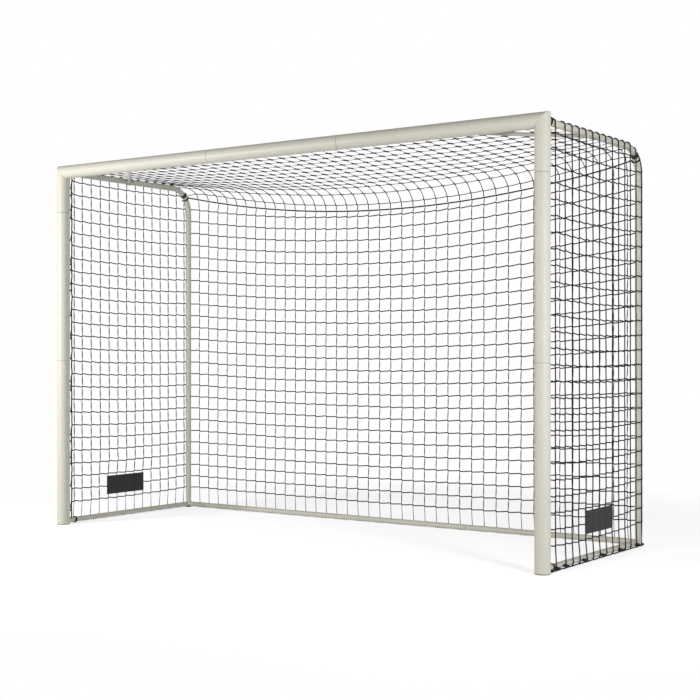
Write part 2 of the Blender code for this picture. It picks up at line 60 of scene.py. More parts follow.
# Sizes of the frame, as in the CAD source
GAP = 0.0003
FRONT_Y = -0.5424
POST_R = 0.035
POST_WALL = 0.002
POST_X = 1.465
POST_Y = FRONT_Y + POST_R
BACK_Y = POST_Y + POST_R
BAR_Z = 1.94
SIDE_R = 0.016
SIDE_WALL = 0.0015
BEND_RADIUS = 0.140
UPRIGHT_Y = FRONT_Y + 1.0635
BEND_Y = UPRIGHT_Y - BEND_RADIUS
BEND_Z = BAR_Z - BEND_RADIUS
RAIL_R = 0.014
RAIL_WALL = 0.0015
RAIL_Z = 0.0195
BRACE_R = 0.009
BRACE_WALL = 0.0012
BRACE_REACH = 0.510
BRACE_Z = BAR_Z - 0.003
SADDLE_INNER = SIDE_R + GAP
SADDLE_T = 0.002
SADDLE_LENGTH = 0.044
SADDLE_HALF_ANGLE = 112     # degrees
UPPER_SEAM_Z = 1.716
LOWER_SEAM_Z = 0.902
BAR_SEAM_X = 0.402
REAR_SEAM_X = 0.500
CORNER_LEG = 0.060
COLLAR_TOP = RAIL_Z + RAIL_R + 0.0005
SPIGOT, SPIGOT_R = 0.055, 0.0119            # of a rear corner, into the rails
SPIGOT_UP, SPIGOT_UP_R = 0.0695, 0.0138     # and up into the side tube
PLUG_T = 0.004              # a foot plug's rim under the post
PLUG_R, PLUG_TOP = 0.0325, 0.034
REAR_PAD_R, REAR_PAD_T = 0.017, 0.0052
EASE = 0.0007               # the round of a cut edge
AXIS_R = 0.0001             # the first and last radius of a turned profile

# The net, measured on the photograph. Its cords are drawn thicker than they measure,
# because thin dark lines come out too pale in a render.
CORD_R = 0.0030             # every row, and the right net's upright cords
THIN_CORD_R = 0.0020        # the cords that run down the left and the rear net
TOP_CORD_R = 0.0022
ROPE_R = 0.0038
FOOT_ROPE_R = 0.0034
STAND_OFF = 0.0030          # a tube's surface to the middle of the cord on it
SIDE_OUT = SIDE_R + STAND_OFF
RAIL_OUT = RAIL_R + STAND_OFF
ROW_START = 0.1225
ROW_PITCH = 0.0713
SIDE_ROWS = 26
SIDE_SAG = {-1: 0.012, 1: 0.015}    # how far a side net's rows hang down in their middle
RIGHT_DROP = 0.004          # how much lower the right net's rows start
REAR_ROWS = 25
REAR_DIP = 0.013            # how far the rear net's middle rows dip at the uprights
COLUMN_START = -1.393
COLUMN_PITCH = 0.0735
COLUMNS = 39
COLUMN_XS = [COLUMN_START + COLUMN_PITCH * i for i in range(COLUMNS)]
TOP_ROWS = 14
TOP_PITCH = 0.0747
TOP_SAG = 0.106
TOP_LENGTH = 1.0            # from the goal's front, where the sag is full
TOP_BROW_Y = FRONT_Y + 0.89     # where the top net turns down to the rope
JITTER = 0.0012             # how far a crossing strays from its place
KNOT_REACH = 0.0050         # a knot's middle to where its cords leave it
KINK = 0.0026               # how far a cord steps aside in a knot
SWELL = 0.30                # how much a thin cord loosens between its knots
LEFT_SWELL = 0.42           # the same for the left net
TOP_SWELL = -0.50           # the top net's cords are thickest at their knots
ROPE_END_Z = 1.8956
ROPE_SAG = 0.1566
ROPE_TURN_IN = 0.85         # the share of its half length where the rope turns in to the bend
LASH_X = 1.4535             # the lacing behind each post
LASH_Y = FRONT_Y + 0.0845
STRAP_ANGLE = radians(49)
FOOT_ROPE_ANGLE = radians(-38)
FOOT_ROPE_REACH = RAIL_R + 2 * CORD_R + FOOT_ROPE_R
FOOT_X = POST_X + FOOT_ROPE_REACH * cos(FOOT_ROPE_ANGLE)
FOOT_Y = UPRIGHT_Y + FOOT_ROPE_REACH * cos(FOOT_ROPE_ANGLE)
FOOT_Z = RAIL_Z + FOOT_ROPE_REACH * sin(FOOT_ROPE_ANGLE)


def column_places(side):
    """Where in Y each upright cord of a side net lies."""
    if side < 0:
        places = [0.133, 0.194] + [0.263 + 0.0709 * i for i in range(12)]
    else:
        places = [0.12] + [0.215 + 0.0714 * i for i in range(10)] + [0.924, 0.992]
    return [FRONT_Y + place for place in places]


# Lines and meshes

def vec(*parts):
    return np.array(parts)


def circle(radius, sides):
    angles = np.arange(sides) * tau / sides
    return np.stack([radius * np.cos(angles), radius * np.sin(angles)], axis=1)


def arc(start, end, steps, point):
    """Points at even angles, in degrees; point makes each of the cosine and the sine."""
    angles = np.radians(np.linspace(start, end, steps + 1))
    return [np.array(point(cos(angle), sin(angle))) for angle in angles]


def chord(radius, off):
    """Half the width of a circle, this far off its middle."""
    return np.sqrt(radius ** 2 - off ** 2)


def unit(ways):
    return ways / np.linalg.norm(ways, axis=-1, keepdims=True)


def run_along(line):
    """How far along a line each of its points is."""
    steps = np.linalg.norm(np.diff(line, axis=0), axis=1)
    return np.concatenate([[0.0], np.cumsum(steps)])


def flat_section(width, thickness):
    """The outline of a webbing or metal strip: thickness first, then width."""
    half = thickness / 2
    end = np.array(arc(-90, 90, 4, lambda c, s: (width / 2 - half + half * c, half * s)))
    return np.vstack([end, -end])[::-1, ::-1]


def rounded(radius, bottom, top, edge):
    """The half profile of a disc with rounded edges, from its underside's middle to its top's."""
    inner = radius - edge
    return [(AXIS_R, bottom),
            *arc(-90, 0, 4, lambda c, s: (inner + edge * c, bottom + edge + edge * s)),
            *arc(0, 90, 4, lambda c, s: (inner + edge * c, top - edge + edge * s)),
            (AXIS_R, top)]


class Shape:
    """Gathers the points, faces and UVs of one mesh."""

    def __init__(self):
        self.points, self.quads, self.uvs, self.caps, self.count = [], [], [], [], 0

    def add_grid(self, rings, lengths, closed=False):
        """A skin over rings of points; the UVs are the share round and the length along."""
        count, around = rings.shape[:2]
        self.points.append(rings.reshape(-1, 3))
        rows = np.arange(count if closed else count - 1)
        row, col = np.meshgrid(rows, np.arange(around), indexing="ij")
        corners = ((0, 0), (1, 0), (1, 1), (0, 1))
        quad = [(row + j) % count * around + (col + i) % around for i, j in corners]
        uv = [np.stack([(col + i) / around, lengths[row + j]], -1) for i, j in corners]
        self.quads.append(np.stack(quad, axis=-1).reshape(-1, 4) + self.count)
        self.uvs.append(np.stack(uv, axis=2).reshape(-1, 4, 2))
        if not closed:
            first = self.count + np.arange(around)
            self.caps += [first[::-1].tolist(), (first + (count - 1) * around).tolist()]
        self.count += count * around

    def sweep(self, path, section, square_to, closed=False):
        """Draw a section along a line; a fourth number of a point scales the section there."""
        path = np.asarray(path, float)
        sizes = path[:, 3] if path.shape[1] > 3 else np.ones(len(path))
        path = path[:, :3]
        if closed:
            ahead = unit(np.roll(path, -1, 0) - np.roll(path, 1, 0))
        else:
            ahead = unit(np.gradient(path, axis=0))
        across = unit(np.cross(ahead, square_to))
        upward = np.cross(across, ahead)
        if not closed:
            tip = np.abs(section).max() / 2
            ends = [0, 0, *range(len(path)), -1, -1]
            path, across, upward, sizes = (part[ends] for part in (path, across, upward, sizes))
            path[0] -= ahead[0] * tip
            path[-1] += ahead[-1] * tip
        section = section[None] * sizes[:, None, None]
        rings = (path[:, None] + section[..., :1] * across[:, None]
                 + section[..., 1:] * upward[:, None])
        lengths = run_along(path)
        if closed:
            lengths = np.append(lengths, lengths[-1] + np.linalg.norm(path[-1] - path[0]))
        else:
            for end, inner, way in ((0, 1, -ahead[0]), (-1, -2, ahead[-1])):
                rings[end] = path[end] + (rings[end] - path[end]) * 0.05
                rings[inner] = path[inner] + (rings[inner] - path[inner]) * 0.8 + way * tip * 0.7
        self.add_grid(rings, lengths, closed)

    def cord(self, path, radius, square_to, sides=8):
        self.sweep(path, circle(radius, sides), square_to)

    def wind(self, centre, along, reach, turns, length, radius, sides=7, square_to=Z_AXIS):
        """Wind a cord of this radius round an axis."""
        self.cord(coil(centre, along, reach, turns, length, square_to), radius, along, sides)

    def object(self, name, material, nodes=None, body="frame", smooth=180):
        points = np.concatenate(self.points)
        quads, uvs, caps = np.concatenate(self.quads), np.concatenate(self.uvs), self.caps
        one, two, three, four = (points[quads[:, corner]] for corner in range(4))
        if (one * (np.cross(two, three) + np.cross(three, four))).sum() < 0:
            quads, uvs, caps = quads[:, ::-1], uvs[:, ::-1], [cap[::-1] for cap in caps]
        mesh = bpy.data.meshes.new(name)
        mesh.from_pydata(points.tolist(), [], quads.tolist() + caps)
        values = np.zeros((len(mesh.loops), 2), np.float32)
        values[:len(quads) * 4] = uvs.reshape(-1, 2)
        mesh.uv_layers.new(name="length").data.foreach_set("uv", values.ravel())
        return finish_piece(name, mesh, material, nodes, body, smooth)


def coil(centre, along, radius, turns, length, square_to=Z_AXIS):
    """A line that winds round an axis."""
    along = unit(np.asarray(along, float))
    one = unit(np.cross(along, square_to))
    two = np.cross(along, one)
    count = max(int(turns * 12), 6)
    turn = np.linspace(0.0, tau * turns, count + 1)[:, None]
    run = np.linspace(-length / 2, length / 2, count + 1)[:, None]
    return np.asarray(centre) + run * along + radius * (np.cos(turn) * one + np.sin(turn) * two)


def new_object(name, data):
    item = bpy.data.objects.new(name, data)
    bpy.context.scene.collection.objects.link(item)
    return item


def finish_piece(name, mesh, material, nodes=None, body="frame", smooth=180):
    """With no nodes given, it replaces the CAD node that its name names before the last word.
    """
    mesh.materials.append(material)
    mesh.shade_smooth()
    if smooth < 180:
        mesh.set_sharp_from_angle(angle=radians(smooth))
    item = new_object(name, mesh)
    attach(item, body)
    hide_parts(*(nodes or [name.rsplit("_", 1)[0]]))
    return item


def carve(item, tools, operation="DIFFERENCE"):
    """Cut or join other meshes and keep only the result."""
    for tool in tools:
        modifier = item.modifiers.new("carve", "BOOLEAN")
        modifier.operation = operation
        modifier.object = tool
        modifier.solver = "EXACT"
    view = bpy.context.evaluated_depsgraph_get()
    mesh = bpy.data.meshes.new_from_object(item.evaluated_get(view))
    item.modifiers.clear()
    item.data = mesh
    for tool in tools:
        bpy.data.objects.remove(tool, do_unlink=True)
    mesh.shade_smooth()
    mesh.set_sharp_from_angle(angle=radians(38))


def aimed(place, heading):
    """A place whose Z looks along this heading."""
    turn = Vector(heading).to_track_quat("Z", "Y").to_matrix().to_4x4()
    return Matrix.Translation(place) @ turn


def mesh_of(bm, name):
    mesh = bpy.data.meshes.new(name)
    bm.to_mesh(mesh)
    bm.free()
    return mesh


def rod(start, end, radius, sides=32):
    """A plain closed rod that only serves to cut or to be joined."""
    bm = bmesh.new()
    bmesh.ops.create_cone(
        bm, cap_ends=True, segments=sides, radius1=radius, radius2=radius,
        depth=(end - start).length, matrix=aimed((start + end) / 2, end - start),
    )
    return new_object("rod", mesh_of(bm, "rod"))


def tube_skin(name, rings, chipped_and_shaded_rings):
    """A tube's closed skin, outside and inside; the last argument says how chipped some of its
    rings are, and how much painted seam shade they get.
    """
    rings = np.array(rings)
    shape = Shape()
    shape.add_grid(rings, np.arange(len(rings) + 1) * 0.01, closed=True)
    item = shape.object(name, PAINT, smooth=50)
    values = np.zeros(rings.shape[:2], np.float32)
    for ring, share in chipped_and_shaded_rings.items():
        values[ring] = share
    chip_and_shade_layer = item.data.attributes.new("edge_chips_and_seam_shade", "FLOAT", "POINT")
    chip_and_shade_layer.data.foreach_set("value", values.ravel())
    return item


def pipe(name, path, radius, wall, sides=64, cuts=(None, None)):
    """A tube with a wall and eased ends. A cut gives how far each end point moves inward."""
    path = np.asarray(path, float)
    last = len(path) - 1
    ahead = unit(np.gradient(path, axis=0))
    across = unit(np.cross(ahead, X_AXIS if abs(ahead[0][0]) < 0.5 else Z_AXIS))
    upward = np.cross(across, ahead)

    def ring(index, size, along=0.0):
        section = circle(size, sides)
        points = path[index] + section[:, :1] * across[index] + section[:, 1:] * upward[index]
        cut = {0: cuts[0], last: cuts[1]}.get(index)
        if cut:
            along = along + cut(points)[:, None]
        return points + ahead[index] * along

    end = [(radius - EASE, 0.0), (radius - EASE * 0.3, EASE * 0.3), (radius, EASE),
           (radius, 8 * EASE)]
    rings = [ring(0, size, along) for size, along in end]
    rings += [ring(index, radius) for index in range(1, last)]
    rings += [ring(last, size, -along) for size, along in end[::-1]]
    rings += [ring(index, radius - wall) for index in range(last, -1, -1)]
    # The eased end rings get chips and the painted shade of a seam
    far = last + 6
    return tube_skin(name, rings, {0: 1.0, 1: 1.0, 2: 0.85, far - 2: 0.85, far - 1: 1.0, far: 1.0})


def turned(name, profile, place, material, heading=None, body="frame", sides=48):
    """A solid of revolution from a profile of radius and height, upward or along a heading."""
    place = Matrix.Translation(place) if heading is None else aimed(place, heading)
    rings = np.array([[(reach * x, reach * y, height) for x, y in circle(1.0, sides)]
                      for reach, height in profile])
    rings = rings @ np.array(place.to_3x3()).T + np.array(place.translation)
    shape = Shape()
    shape.add_grid(rings, np.arange(len(rings)) * 0.002)
    return shape.object(name, material, body=body, smooth=40)


# Materials

class Nodes:
    """Adds and links the nodes of one material or world."""

    def __init__(self, block):
        block.use_nodes = True
        self.block, self.tree = block, block.node_tree
        self.shader = self.tree.nodes.get("Principled BSDF")

    def set(self, node, inputs):
        for key, value in inputs.items():
            if isinstance(value, bpy.types.NodeSocket):
                self.tree.links.new(value, node.inputs[key])
            else:
                node.inputs[key].default_value = value

    def shade(self, inputs):
        """Give the main shader its inputs, and hand back the finished material."""
        self.set(self.shader, inputs)
        return self.block

    def add(self, kind, inputs=None, out=0, **settings):
        node = self.tree.nodes.new("ShaderNode" + kind)
        for key, value in settings.items():
            setattr(node, key, value)
        self.set(node, inputs or {})
        return node.outputs[out]

    def place(self):
        """The point on the object, in metres."""
        return self.add("TexCoord", out=3)

    def uv(self, first, second):
        """The two values of the mesh's UVs, times two numbers."""
        parts = [self.add("SeparateXYZ", {0: self.add("TexCoord", out=2)}, out) for out in (0, 1)]
        return self.math("MULTIPLY", parts[0], first), self.math("MULTIPLY", parts[1], second)

    def noise(self, place, scale, detail=2.0, roughness=0.5):
        return self.add("TexNoise", {
            "Vector": place, "Scale": scale, "Detail": detail, "Roughness": roughness,
        })

    def between(self, value, low, high, to_low=0.0, to_high=1.0):
        return self.add("MapRange", {
            "Value": value, "From Min": low, "From Max": high,
            "To Min": to_low, "To Max": to_high,
        })

    def math(self, operation, first, second=0.0):
        return self.add("Math", {0: first, 1: second}, operation=operation)

    def mix(self, share, first, second):
        colors = [(*color, 1.0) if isinstance(color, tuple) else color for color in (first, second)]
        return self.add("Mix", {0: share, 6: colors[0], 7: colors[1]}, 2, data_type="RGBA")

    def bump(self, height, strength, distance, under=None):
        inputs = {"Height": height, "Strength": strength, "Distance": distance}
        if under:
            inputs["Normal"] = under
        return self.add("Bump", inputs)

    def rays(self, *kinds):
        """1 for rays of these kinds, 0 for the others."""
        found = 0.0
        for kind in kinds:
            found = self.math("MAXIMUM", self.add("LightPath", out=f"Is {kind} Ray"), found)
        return found


def new_material(name, color, roughness, metallic=0.0):
    nodes = Nodes(bpy.data.materials.new(name))
    nodes.shade({"Base Color": (*color, 1.0), "Roughness": roughness, "Metallic": metallic})
    return nodes


def tint(color, factor, lift=0.0):
    return tuple(min(1.0, part * factor + lift) for part in color)


def powder_coat(name, color):
    """Cream powder coat: orange peel, a faint mottle, chips along the cut ends, and painted shade
    along the seams between sections.
    """
    paint = new_material(name, color, 0.42)
    place = paint.place()
    grain = paint.noise(place, 210.0, 4.0, 0.65)
    cloud = paint.between(paint.noise(place, 4.0, 3.0), 0.35, 0.7, 0.0, 0.35)
    darker = tint(color, 0.90)
    mottled = paint.mix(paint.between(grain, 0.3, 0.7), darker, tint(color, 1.07))
    clouded = paint.mix(cloud, mottled, darker)
    edge = paint.add("Attribute", out=2, attribute_name="edge_chips_and_seam_shade")
    flakes = paint.between(paint.noise(place, 900.0, 4.0, 0.7), 0.54, 0.66, 0.0, 0.35)
    chips = paint.math("MULTIPLY", edge, flakes)
    # Painted shade: a dark line on the end rings, at the seam between two sections
    painted_seam_shade = paint.math("MULTIPLY", paint.math("POWER", edge, 6.0), 0.75)
    chips_and_seam_shade = paint.math("MAXIMUM", chips, painted_seam_shade)
    peel = paint.bump(paint.noise(place, 620.0), 0.28, 0.0006)
    return paint.shade({
        "Base Color": paint.mix(chips_and_seam_shade, clouded, (0.30, 0.29, 0.27)),
        "Roughness": paint.between(grain, 0.3, 0.7, 0.36, 0.52),
        "Normal": paint.bump(paint.noise(place, 2400.0, 1.0), 0.12, 0.0002, peel),
        "Specular IOR Level": 0.45,
    })


def braided_cord(name, color, pitch, strands, radius):
    """Braided cord: two crossing spirals of yarn round it, with a painted highlight where the yarns
    stand up and painted shade in the grooves between them.
    """
    cord = new_material(name, color, 0.62)
    around, along = cord.uv(strands * tau, tau / pitch)
    left = cord.math("SINE", cord.math("ADD", around, along))
    right = cord.math("SINE", cord.math("SUBTRACT", around, along))
    place = cord.place()
    fuzz = cord.noise(place, 900.0, 3.0, 0.7)
    dust = cord.between(cord.noise(place, 14.0, 3.0), 0.5, 0.8, 0.0, 0.5)
    weave = cord.math("MULTIPLY", left, right)
    height = cord.math("ADD", weave, cord.math("MULTIPLY", fuzz, 0.6))
    # Painted light: the yarns' crests paler, as if lit, and the grooves darker, as if shaded; dust
    # goes to the same pale colour
    highlight_and_pale_tone = tint(color, 1.8, 0.004)
    yarn = cord.mix(cord.between(height, -0.4, 1.1), tint(color, 0.45), highlight_and_pale_tone)
    return cord.shade({
        "Base Color": cord.mix(dust, yarn, highlight_and_pale_tone),
        "Roughness": cord.between(fuzz, 0.3, 0.7, 0.52, 0.78),
        "Normal": cord.bump(height, 0.7, radius * 0.25),
        "Specular IOR Level": 0.3,
    })


def woven_cloth(name, color, pitch, sheen):
    """A plain weave in the mesh's own UVs, in metres, with a painted highlight on the raised
    threads and painted shade between them.
    """
    cloth = new_material(name, color, 0.72)
    warp, weft = cloth.uv(tau / pitch, tau / pitch)
    weave = cloth.math("MULTIPLY", cloth.math("SINE", warp), cloth.math("SINE", weft))
    place = cloth.place()
    fibre = cloth.noise(place, 700.0, 4.0, 0.7)
    cloud = cloth.between(cloth.noise(place, 12.0, 3.0), 0.45, 0.75, 0.0, 0.35)
    # Painted light: the threads' crests paler, as if lit, and the hollows between them darker, as
    # if shaded; fibre spots and clouds go to the same pale colour
    highlight_and_pale_tone = tint(color, 1.45, 0.004)
    yarn = cloth.mix(cloth.between(weave, -0.9, 0.9), tint(color, 0.62), highlight_and_pale_tone)
    spotted = cloth.mix(cloth.between(fibre, 0.4, 0.75, 0.0, 0.5), yarn, highlight_and_pale_tone)
    return cloth.shade({
        "Base Color": cloth.mix(cloud, spotted, highlight_and_pale_tone),
        "Roughness": cloth.between(fibre, 0.3, 0.7, 0.62, 0.85),
        "Normal": cloth.bump(cloth.math("ADD", weave, fibre), 0.5, 0.0003),
        "Sheen Weight": sheen,
    })


def plated_steel(name, color, roughness, spangle):
    """Zinc or spring steel: crystals or drawing lines in colour, roughness and bump."""
    steel = new_material(name, color, roughness, 1.0)
    place = steel.place()
    crystals = steel.between(steel.add("TexVoronoi", {"Vector": place, "Scale": spangle}), 0.0, 0.9)
    fine = steel.noise(place, 1400.0, 3.0, 0.7)
    return steel.shade({
        "Base Color": steel.mix(crystals, tint(color, 0.8), tint(color, 1.1)),
        "Roughness": steel.between(fine, 0.3, 0.7, roughness * 0.8, roughness * 1.25),
        "Normal": steel.bump(fine, 0.15, 0.0001),
    })


def moulded_plastic(name, color):
    """Plastic with a spark-eroded mould texture and rubbed patches."""
    plastic = new_material(name, color, 0.5)
    place = plastic.place()
    pits = plastic.noise(place, 1500.0, 2.0, 0.6)
    rub = plastic.noise(place, 40.0, 4.0, 0.6)
    rubbed = plastic.between(rub, 0.5, 0.72, 0.0, 0.6)
    return plastic.shade({
        "Base Color": plastic.mix(rubbed, color, tint(color, 2.2, 0.01)),
        "Roughness": plastic.between(rub, 0.35, 0.7, 0.42, 0.62),
        "Normal": plastic.bump(pits, 0.3, 0.0002),
    })


PAINT = powder_coat("cream_powder_coat", (0.72, 0.70, 0.60))
ZINC = plated_steel("zinc_plate", (0.62, 0.63, 0.64), 0.32, 260.0)
BRACKET = plated_steel("dull_zinc_plate", (0.42, 0.42, 0.40), 0.48, 260.0)
SPRING = plated_steel("spring_steel_strip", (0.36, 0.36, 0.38), 0.28, 900.0)
PLASTIC = moulded_plastic("black_moulded_plastic", (0.022, 0.022, 0.023))
FOOT = moulded_plastic("foot_plastic", (0.30, 0.29, 0.25))
CORD = braided_cord("black_braided_cord", (0.0105, 0.0100, 0.0125), 0.0052, 3, CORD_R)
ROPE = braided_cord("black_braided_rope", (0.0095, 0.0090, 0.0110), 0.0080, 4, ROPE_R)
WEBBING = woven_cloth("black_webbing", (0.016, 0.016, 0.018), 0.0016, 0.1)
CLOTH = woven_cloth("charcoal_label_cloth", (0.0140, 0.0134, 0.0172), 0.0011, 0.03)
THREAD = braided_cord("charcoal_thread", (0.055, 0.053, 0.062), 0.0012, 2, 0.0003)


# Camera

def make_camera():
    data = bpy.data.cameras.new("camera")
    data.sensor_width = 36.0
    data.lens = 69.3
    data.shift_y = 0.00313
    data.clip_end = 100.0
    item = new_object("camera", data)
    item.location = (4.0857, -5.6946, 0.9485)
    item.rotation_euler = (pi / 2, 0.0, radians(34.934))
    bpy.context.scene.camera = item


make_camera()


# Tubes of the frame

def mitred_corner(name, side):
    """The elbow: its crossbar leg, a softened mitre, and its post leg, with a wall."""
    sides, soft, straight = 64, 0.0035, 0.006
    inner = POST_R - POST_WALL
    x_seam = side * (BAR_SEAM_X + GAP / 2)
    z_seam = UPPER_SEAM_Z + GAP / 2

    def ring(radius, x=None, z=None, to_bar=0.0, to_post=0.0):
        """A ring on the mitre, or square across the crossbar at x or the post at z."""
        depth, out = circle(radius, sides).T
        if x is None:
            x = side * (POST_X + out - to_bar)
        if z is None:
            z = BAR_Z + out - to_post
        return np.stack(np.broadcast_arrays(x, POST_Y + depth, z), axis=1)

    rings = [ring(POST_R - EASE, x_seam), ring(POST_R, x_seam + side * EASE),
             ring(POST_R, x_seam + side * straight)]
    rings += [ring(POST_R, to_bar=soft * step / 3) for step in (3, 2, 1)]
    rings += [ring(POST_R - 0.0005)]
    rings += [ring(POST_R, to_post=soft * step / 3) for step in (1, 2, 3)]
    rings += [ring(POST_R, z=z_seam + straight), ring(POST_R, z=z_seam + EASE),
              ring(POST_R - EASE, z=z_seam), ring(inner, z=z_seam), ring(inner),
              ring(inner, x_seam)]
    # The rings at both seams get chips and painted seam shade
    return tube_skin(name, rings, {0: 1.0, 1: 1.0, 11: 1.0, 12: 1.0})


def cope_post(p):
    """How far a tube that runs to +Y starts from a post's axis, so that it fits its back."""
    return chord(POST_R + GAP, np.abs(p[:, 0]) - POST_X)


def cope_corner(p):
    """The same for a tube that meets the corner, where the mitre's two legs cross."""
    return chord(POST_R + GAP, np.maximum(np.abs(p[:, 0]) - POST_X, p[:, 2] - BAR_Z))


def cope_bar(p):
    """How far a diagonal brace starts from its point on the crossbar's axis."""
    return (chord(POST_R + GAP, p[:, 2] - BAR_Z) - (p[:, 1] - POST_Y)) * sqrt(2)


def cope_side(p):
    """How far a brace's end draws back from the side tube's axis, to the saddle's outside."""
    edge = chord(SADDLE_INNER + SADDLE_T + GAP, p[:, 2] - BAR_Z)
    return (POST_X - edge - np.abs(p[:, 0])) * sqrt(2)


def side_path(side):
    """A side frame's axis: back from the corner, round the bend and down the upright."""
    x = side * POST_X
    bend = arc(90, 0, 24, lambda c, s: (x, BEND_Y + BEND_RADIUS * c, BEND_Z + BEND_RADIUS * s))
    return [(x, POST_Y, BAR_Z), (x, POST_Y + 0.12, BAR_Z), *bend, (x, UPRIGHT_Y, COLLAR_TOP + GAP)]


def make_tubes():
    """Every tube. The sections that a snap button can pass through are handed back."""
    half = GAP / 2
    drilled = {}
    for name, side in SIDES.items():
        x = side * POST_X
        drilled[f"corner_{name}"] = mitred_corner(f"corner_{name}_tube", side)
        for part, ends in (("upper", (LOWER_SEAM_Z + half, UPPER_SEAM_Z - half)),
                           ("lower", (PLUG_T + GAP, LOWER_SEAM_Z - half))):
            drilled[f"post_{part}_{name}"] = pipe(
                f"post_{part}_{name}_tube", [(x, POST_Y, z) for z in ends], POST_R, POST_WALL)
        pipe(f"side_frame_{name}_tube", side_path(side), SIDE_R, SIDE_WALL, 48, (cope_corner, None))
        ends = (POST_Y, UPRIGHT_Y - CORNER_LEG - GAP)
        pipe(f"ground_rail_{name}_tube", [(x, y, RAIL_Z) for y in ends], RAIL_R, RAIL_WALL, 40,
             (cope_post, None))
        ends = (REAR_SEAM_X + half, POST_X - CORNER_LEG - GAP)
        pipe(f"rear_rail_{name}_tube", [(side * end, UPRIGHT_Y, RAIL_Z) for end in ends],
             RAIL_R, RAIL_WALL, 40)
        ends = [(x - side * BRACE_REACH, POST_Y, BRACE_Z), (x, POST_Y + BRACE_REACH, BRACE_Z)]
        pipe(f"brace_{name}_tube", ends, BRACE_R, BRACE_WALL, 32, (cope_bar, cope_side))
        rear_corner(name, side)
    ends = (half - BAR_SEAM_X, BAR_SEAM_X - half)
    pipe("crossbar_middle_tube", [(x, POST_Y, BAR_Z) for x in ends], POST_R, POST_WALL)
    ends = (half - REAR_SEAM_X, REAR_SEAM_X - half)
    pipe("rear_rail_middle_tube", [(x, UPRIGHT_Y, RAIL_Z) for x in ends], RAIL_R, RAIL_WALL, 40)
    return drilled


def rear_corner(name, side):
    """The cast corner: an upright collar and two legs, with their spigots, joined into one."""
    centre = Vector((side * POST_X, UPRIGHT_Y, RAIL_Z))
    collar = rounded(SIDE_R, REAR_PAD_T + 0.0008, COLLAR_TOP, 0.0008)
    item = turned(f"rear_corner_{name}_casting", collar, (centre.x, centre.y, 0.0), PAINT)
    parts = [rod(centre, centre + Vector(Z_AXIS) * SPIGOT_UP, SPIGOT_UP_R)]
    for heading in (Vector((0, -1, 0)), Vector((-side, 0, 0))):
        for reach, radius, sides in ((CORNER_LEG - 0.0006, RAIL_R, 40),
                                     (CORNER_LEG, RAIL_R - EASE, 40),
                                     (CORNER_LEG + SPIGOT, SPIGOT_R, 32)):
            parts.append(rod(centre, centre + heading * reach, radius, sides))
    carve(item, parts, "UNION")


def make_buttons(tubes):
    """Each button: a domed pin with a flange, in a hole through the section that it locks."""
    pin, flange, flange_t, dome, hole = 0.0042, 0.006, 0.0013, 0.0016, 0.0046
    back = Vector(Y_AXIS)
    for part in ("crossbar", "upper", "lower"):
        for name in SIDES:
            seam = f"{part}_{name}"
            low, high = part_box(f"snap_button_{seam}")
            spot = Vector(((low.x + high.x) / 2, POST_Y, (low.z + high.z) / 2))
            foot, neck = low.y - POST_Y, high.y - POST_Y - dome
            profile = [(AXIS_R, foot), (flange, foot), (flange, foot + flange_t),
                       (pin, foot + flange_t + 0.0002)]
            profile += arc(0, 90, 6, lambda c, s: (max(pin * c, AXIS_R), neck + dome * s))
            turned(f"snap_button_{seam}_pin", profile, spot, ZINC, back, f"button_{seam}", 32)
            owner = f"post_upper_{name}" if part == "lower" else f"corner_{name}"
            carve(tubes[owner], [rod(spot + back * 0.02, spot + back * 0.06, hole)])
            leaf_spring(seam, spot)


def leaf_spring(seam, spot):
    """The bent strip behind a button: its far arm rests on the sleeve, and it gives."""
    low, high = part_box(f"leaf_spring_{seam}")
    along = 2 if high.z - low.z > 0.03 else 0
    sign = 1 if high[along] - spot[along] < spot[along] - low[along] else -1
    width, thickness, half_turn, depth = 0.010, 0.0008, 0.005, 0.0055
    near, far = high.y - thickness / 2, low.y + thickness / 2
    arm = [(0.010, 0.0), (0.0, 0.0), (-0.010, 0.0002), (-0.030, 0.0016), (-0.045, 0.0052)]
    outline = [(reach, near - bend) for reach, bend in arm]
    outline += arc(0, 180, 8, lambda c, s: (-0.0495 - half_turn * s,
                                            (near + far) / 2 + depth * c))
    outline += [(reach, far + bend) for reach, bend in arm[::-1]]
    path = []
    for reach, y in outline:
        point = [spot.x, y, spot.z]
        point[along] = spot[along] + sign * reach
        path.append(point)
    shape = Shape()
    shape.sweep(path, flat_section(width, thickness), X_AXIS if along == 2 else Z_AXIS)
    item = shape.object(f"leaf_spring_{seam}_strip", SPRING, smooth=50)
    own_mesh(item)


def make_feet():
    """The plugs that close the posts, and the pads under the rear corners."""
    lead = 0.0015
    plug = rounded(POST_R, 0.0, PLUG_T, 0.0014)[:-1]
    plug += [(PLUG_R, PLUG_T), (PLUG_R, PLUG_TOP - lead), (PLUG_R - lead, PLUG_TOP),
             (AXIS_R, PLUG_TOP)]
    pad = rounded(REAR_PAD_R, 0.0, REAR_PAD_T, 0.0012)
    for name, side in SIDES.items():
        x = side * POST_X
        turned(f"foot_plug_{name}_moulding", plug, (x, POST_Y, 0.0), FOOT, sides=64)
        turned(f"rear_foot_{name}_pad", pad, (x, UPRIGHT_Y, 0.0), PLASTIC)


